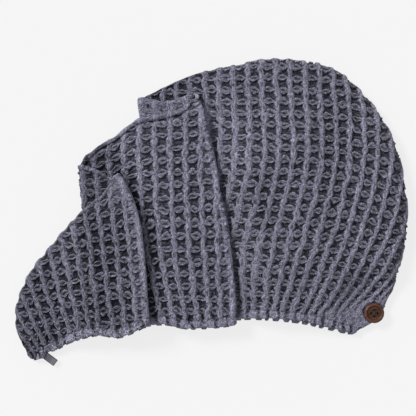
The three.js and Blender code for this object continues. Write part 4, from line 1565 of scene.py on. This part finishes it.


# The tone of a cell is the highest of ridge, arcs, eye and floor, less the slits and the painted
# shade and light that the crease attribute carries
def waffleMaterial():
    material, tree, shader = newMaterial("waffle_cloth")
    P, Q = weavePlace(tree)
    edgeNoise = noiseOf(objectPlace(tree), 520.0, 2.0, 0.6) - 0.5
    u = calculate("FRACT", P + 0.5) - 0.5
    a = calculate("FRACT", P) - 0.5
    v = calculate("FRACT", Q + 0.5) - 0.5
    sway = waveOf(Q) * -weave["ridgeSway"]
    belly = (1.0 - calculate("COSINE", Q * (2 * math.pi))) * 0.5
    half = (belly * weave["ridgeBelly"] + weave["ridge"]) * attributeOf(tree, "wide")
    past = calculate("FRACT", Q)
    pad = (1.0 - past) * rangeOf(past, 0.0, weave["padStart"], 0.0, weave["pad"])
    half = half + pad * calculate("GREATER_THAN", u, sway)
    offRidge = sizeOf(u - sway) / half
    slit = rangeOf(offRidge, *waffle["slitSide"], 1.0, 0.0)
    slit = slit * rangeOf(sizeOf(past - 0.5), *waffle["slitEnd"], 1.0, 0.0)
    slit = slit * rangeOf(noiseOf(objectPlace(tree), waffle["slitPatches"], 1.0, 0.5), 0.5, 0.6)
    offRidge = offRidge + edgeNoise * (4 * waffle["ragged"])
    ridge = rangeOf(offRidge, *waffle["ridgeSide"], waffle["ridgeTone"], 0.0)
    ridge = ridge - slit * waffle["slitTone"]
    reach = calculate("MINIMUM", sizeOf(a) / weave["eyeReach"], 1.0)
    arch = calculate("COSINE", reach * (math.pi / 2)) * attributeOf(tree, "eye")
    leaning = attributeOf(tree, "tilt") * a + v
    offArc = sizeOf(leaning) - arch + edgeNoise * (4 * waffle["ragged"] * weave["rope"])
    arcWidth = weave["rope"] * waffle["arcWidth"]
    rope = rangeOf(sizeOf(offArc), 0.0, arcWidth, waffle["arcTone"], 0.0)
    rope = rope * rangeOf(leaning, -weave["halves"], weave["halves"], waffle["upperArc"], 1.0)
    pupilX, pupilY = waffle["pupilSize"]
    pupil = calculate("POWER", a / pupilX, 2.0) + calculate("POWER", leaning / pupilY, 2.0)
    pupil = pupil + edgeNoise * waffle["pupilRagged"]
    within = rangeOf(offArc, *weave["eyeSide"], waffle["eyeTone"], 0.0)
    within = within - rangeOf(pupil, *waffle["pupilSide"], waffle["pupilTone"], 0.0)
    floor = rangeOf(offArc - weave["rope"], 0.0, waffle["under"], 0.0, waffle["floorTone"])
    cells = ridge
    for other in (rope, within, floor):
        cells = calculate("MAXIMUM", cells, other)
    cells = (cells - waffle["flatTone"]) * attributeOf(tree, "depth") + waffle["flatTone"]
    cells = cells - attributeOf(tree, "crease") * waffle["paintedShadeTone"]
    upright = rangeOf(offRidge, 0.8, 1.1, 1.0, 0.0)
    cottonSurface(tree, shader, cells, cottonRough(tree, P, Q, upright))
    return material


# Hem: the same cotton without cells, with painted shade in its creases, and a line of stitches at
# its upper edge
hemStitch = {
    "length": 2.6, "tone": 0.93, "blotch": 0.6, "curls": 210.0,
    "line": 0.93, "lineSide": (0.02, 0.07),  # share of the hem's width, and the line's edges
    "dashSide": (0.28, 0.36), "curlSide": (0.015, 0.085), "curlTone": (0.44, -0.3),
    "paintedShadeTone": 0.5, "lineTone": 0.3, "dashTone": 0.25,
}


# The tone is even, less the painted shade of the creases, the blotches, which are stronger in the
# creases, and the stitches, plus the curls
def hemMaterial():
    material, tree, shader = newMaterial("hem_cloth")
    P, Q = weavePlace(tree)
    crease = attributeOf(tree, "crease")
    dash = calculate("FRACT", P * (10.0 / hemStitch["length"])) - 0.5
    dash = rangeOf(sizeOf(dash), *hemStitch["dashSide"], 1.0, 0.0)
    offLine = sizeOf(attributeOf(tree, "depth") - hemStitch["line"])
    line = rangeOf(offLine, *hemStitch["lineSide"], 1.0, 0.0)
    line = line * (attributeOf(tree, "stitched") * 0.7 + 0.3)
    blotch = rangeOf(strandsOf(P, Q, 2.6, 4.2, 3.0), 0.5, 0.6) * (crease + 0.25)
    curl = noiseOf(objectPlace(tree), hemStitch["curls"], 1.5, 0.5) - 0.5
    curl = rangeOf(sizeOf(curl), *hemStitch["curlSide"], *hemStitch["curlTone"])
    cells = crease * -hemStitch["paintedShadeTone"] + hemStitch["tone"]
    cells = cells - blotch * hemStitch["blotch"] + curl * attributeOf(tree, "tangled")
    cells = cells - line * hemStitch["lineTone"] + dash * line * hemStitch["dashTone"]
    cottonSurface(tree, shader, cells, cottonRough(tree, P, Q, 0.65))
    return material


# Wood: long grain with pores, and faint turning rings round the button's axis
wood = {
    "light": (0.125, 0.054, 0.031, 1), "dark": (0.02, 0.0075, 0.004, 1), "grainAngle": 28,
    "stretch": (0.12, 1.0, 0.6), "grain": 1500.0, "broad": 330.0,
    "ring": 0.00055, "broadRing": 0.0021,     # steps of the turning rings, metres
    "rim": (0.0062, 0.0076), "dishShadeRimHighlight": (-0.12, 0.24),  # from the axis, metres
}


# The tone is a drawn-out noise, with painted shade in the dish and a painted highlight on the rim,
# and rings as sines
def woodMaterial():
    material, tree, shader = newMaterial("wood")
    place = placeFrom(tree, buttonCentre, math.radians(wood["grainAngle"]))
    stretched = vectorOf("MULTIPLY", place, wood["stretch"])
    grain = noiseOf(stretched, wood["grain"], 5.0, 0.65)
    broad = noiseOf(stretched, wood["broad"], 2.0, 0.5)
    fromAxis = vectorOf("LENGTH", vectorOf("MULTIPLY", place, (1.0, 1.0, 0.0)))
    tone = rangeOf(grain * 0.9 + broad * 0.6, 0.45, 1.05)
    # painted shade in the dish and a painted highlight on the rim, plus the broad turning rings
    dishShadeRimHighlight = rangeOf(fromAxis, *wood["rim"], *wood["dishShadeRimHighlight"])
    dishShadeRimHighlight = dishShadeRimHighlight + waveOf(fromAxis * (1 / wood["broadRing"])) * 0.14
    tone = calculate("MINIMUM", tone + dishShadeRimHighlight, 1.0)
    feed(shader.inputs["Base Color"], mixColours(tone, wood["dark"], wood["light"]))
    bump = waveOf(fromAxis * (1 / wood["ring"])) * 0.12 + grain * 0.7
    feed(shader.inputs["Normal"], bumpOf(bump, 0.0001))
    feed(shader.inputs["Roughness"], rangeOf(grain, 0.3, 0.7, 0.5, 0.38))
    shader.inputs["Specular IOR Level"].default_value = 0.22
    shader.inputs["Coat Weight"].default_value = 0.05
    shader.inputs["Coat Roughness"].default_value = 0.25
    return material


# Thread: twisted strands, seen as slanting bands
thread = {"light": (0.1, 0.08, 0.066, 1), "dark": (0.02, 0.014, 0.011, 1), "twist": 0.0004}


# The tone is the sine of x + y + z, plus a noise
def threadMaterial():
    material, tree, shader = newMaterial("thread")
    place = objectPlace(tree)
    x, y, z = partsOf(place)
    twist = waveOf((x + y + z) * (1 / thread["twist"]))
    tone = twist * 0.3 + noiseOf(place, 6000.0, 2.0, 0.6)
    feed(shader.inputs["Base Color"], mixColours(tone, thread["dark"], thread["light"]))
    feed(shader.inputs["Normal"], bumpOf(tone, 0.00008))
    shader.inputs["Roughness"].default_value = 0.8
    return material


# Elastic: lengthwise ribs are modelled; fine rungs cross them. Its tone rises from painted shade
# near the hem to painted light towards its end, and it is dark at its sides as painted shade. Steps
# and places are metres.
rubber = {
    "light": (0.24, 0.235, 0.27, 1), "dark": (0.03, 0.029, 0.036, 1),
    "rung": 0.0007, "rib": 0.0008,
    "end": (0.003, 0.0105), "paintedHemShadeEndLight": (-0.1, 0.35),
    "side": (0.0026, 0.0031), "paintedSideShade": (1.0, 0.25),
}


# The tone is a sine along and a sine across, plus a noise, then the painted shade and light along
# it and the painted shade at its sides
def elasticMaterial():
    material, tree, shader = newMaterial("elastic")
    root, along = elasticRoot()
    x, y, _ = partsOf(placeFrom(tree, root, math.atan2(along[0], -along[1])))
    rungs = waveOf(x * (1 / rubber["rung"]))
    ribs = waveOf(y * (1 / rubber["rib"]))
    fuzz = noiseOf(objectPlace(tree), 2500.0, 3.0, 0.6)
    tone = rungs * 0.16 + ribs * 0.22 + fuzz
    tone = tone + rangeOf(x, *rubber["end"], *rubber["paintedHemShadeEndLight"])
    tone = tone * rangeOf(sizeOf(y), *rubber["side"], *rubber["paintedSideShade"])
    feed(shader.inputs["Base Color"], mixColours(tone, rubber["dark"], rubber["light"]))
    feed(shader.inputs["Normal"], bumpOf(tone, 0.0002))
    shader.inputs["Roughness"].default_value = 0.85
    return material


waffleCloth = waffleMaterial()
hemClothLook = hemMaterial()
dressed = [
    (frontHood, waffleCloth, "waffle_cloth", "front_panel"),
    (frontMiddle, waffleCloth, "waffle_cloth", "front_panel"),
    (frontTail, waffleCloth, "waffle_cloth", "front_panel"),
    (backPanel, waffleCloth, "waffle_cloth", "back_panel"),
    (frontHem, hemClothLook, "hem_cloth", "front_hem"),
    (backHem, hemClothLook, "hem_cloth", "back_hem"),
    (buttonPiece, woodMaterial(), "wood", "button"),
    (threadPiece, threadMaterial(), "thread", "button_thread"),
    (elasticPiece, elasticMaterial(), "elastic", "elastic_loop"),
]
for piece, material, slot, node in dressed:
    piece.data.materials.clear()
    piece.data.materials.append(material)
    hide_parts(node)
    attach(piece, "root")
print("towel: materials set")

# Stage: pale floor, one soft key from the upper left, and even light from all round
studio = {
    "floorColour": (0.12, 0.12, 0.12, 1),
    "floorGlow": 0.788,
    "floorReach": 12.0,   # metres
    "keyStrength": 2.95, "keySoftness": 18, "keyAzimuth": 142, "keyHeight": 38,
    "skyStrength": 0.45,
    "lens": 120, "sensor": 36, "focusHeight": 10,
    "lookX": -2.67, "lookY": 3.71,
}
floorMesh = bpy.data.meshes.new("floor")
reach = studio["floorReach"]
corners = [(-reach, -reach), (reach, -reach), (reach, reach), (-reach, reach)]
floorMesh.from_pydata([(x, y, -0.0002) for x, y in corners], [], [(0, 1, 2, 3)])
floor = bpy.data.objects.new("floor", floorMesh)
bpy.context.scene.collection.objects.link(floor)
floorMaterial, _, floorShader = newMaterial("floor_paint")
floorShader.inputs["Base Color"].default_value = studio["floorColour"]
floorShader.inputs["Roughness"].default_value = 0.9
floorShader.inputs["Specular IOR Level"].default_value = 0.1
floorShader.inputs["Emission Color"].default_value = (1, 1, 1, 1)
floorShader.inputs["Emission Strength"].default_value = studio["floorGlow"]
floor.data.materials.append(floorMaterial)

keyData = bpy.data.lights.new("key", "SUN")
keyData.energy = studio["keyStrength"]
keyData.angle = math.radians(studio["keySoftness"])
key = bpy.data.objects.new("key", keyData)
azimuth = math.radians(studio["keyAzimuth"])
rise = math.radians(studio["keyHeight"])
key.rotation_mode = "XYZ"
key.rotation_euler = (0, math.pi / 2 - rise, azimuth)
bpy.context.scene.collection.objects.link(key)

world = bpy.data.worlds.new("sky")
bpy.context.scene.world = world
world.use_nodes = True
sky = world.node_tree.nodes["Background"]
sky.inputs["Color"].default_value = (1.0, 1.0, 1.0, 1)
sky.inputs["Strength"].default_value = studio["skyStrength"]

cameraData = bpy.data.cameras.new("camera")
cameraData.lens = studio["lens"]
cameraData.sensor_width = studio["sensor"]
camera = bpy.data.objects.new("camera", cameraData)
frameWidth = photo["width"] * photo["mmPerPixel"]
distance = frameWidth * studio["lens"] / studio["sensor"] + studio["focusHeight"]
camera.location = (studio["lookX"] * metre, studio["lookY"] * metre, distance * metre)
bpy.context.scene.collection.objects.link(camera)
bpy.context.scene.camera = camera
bpy.context.scene.view_settings.view_transform = "Standard"
print("towel: stage and camera set")

bpy.context.view_layer.update()
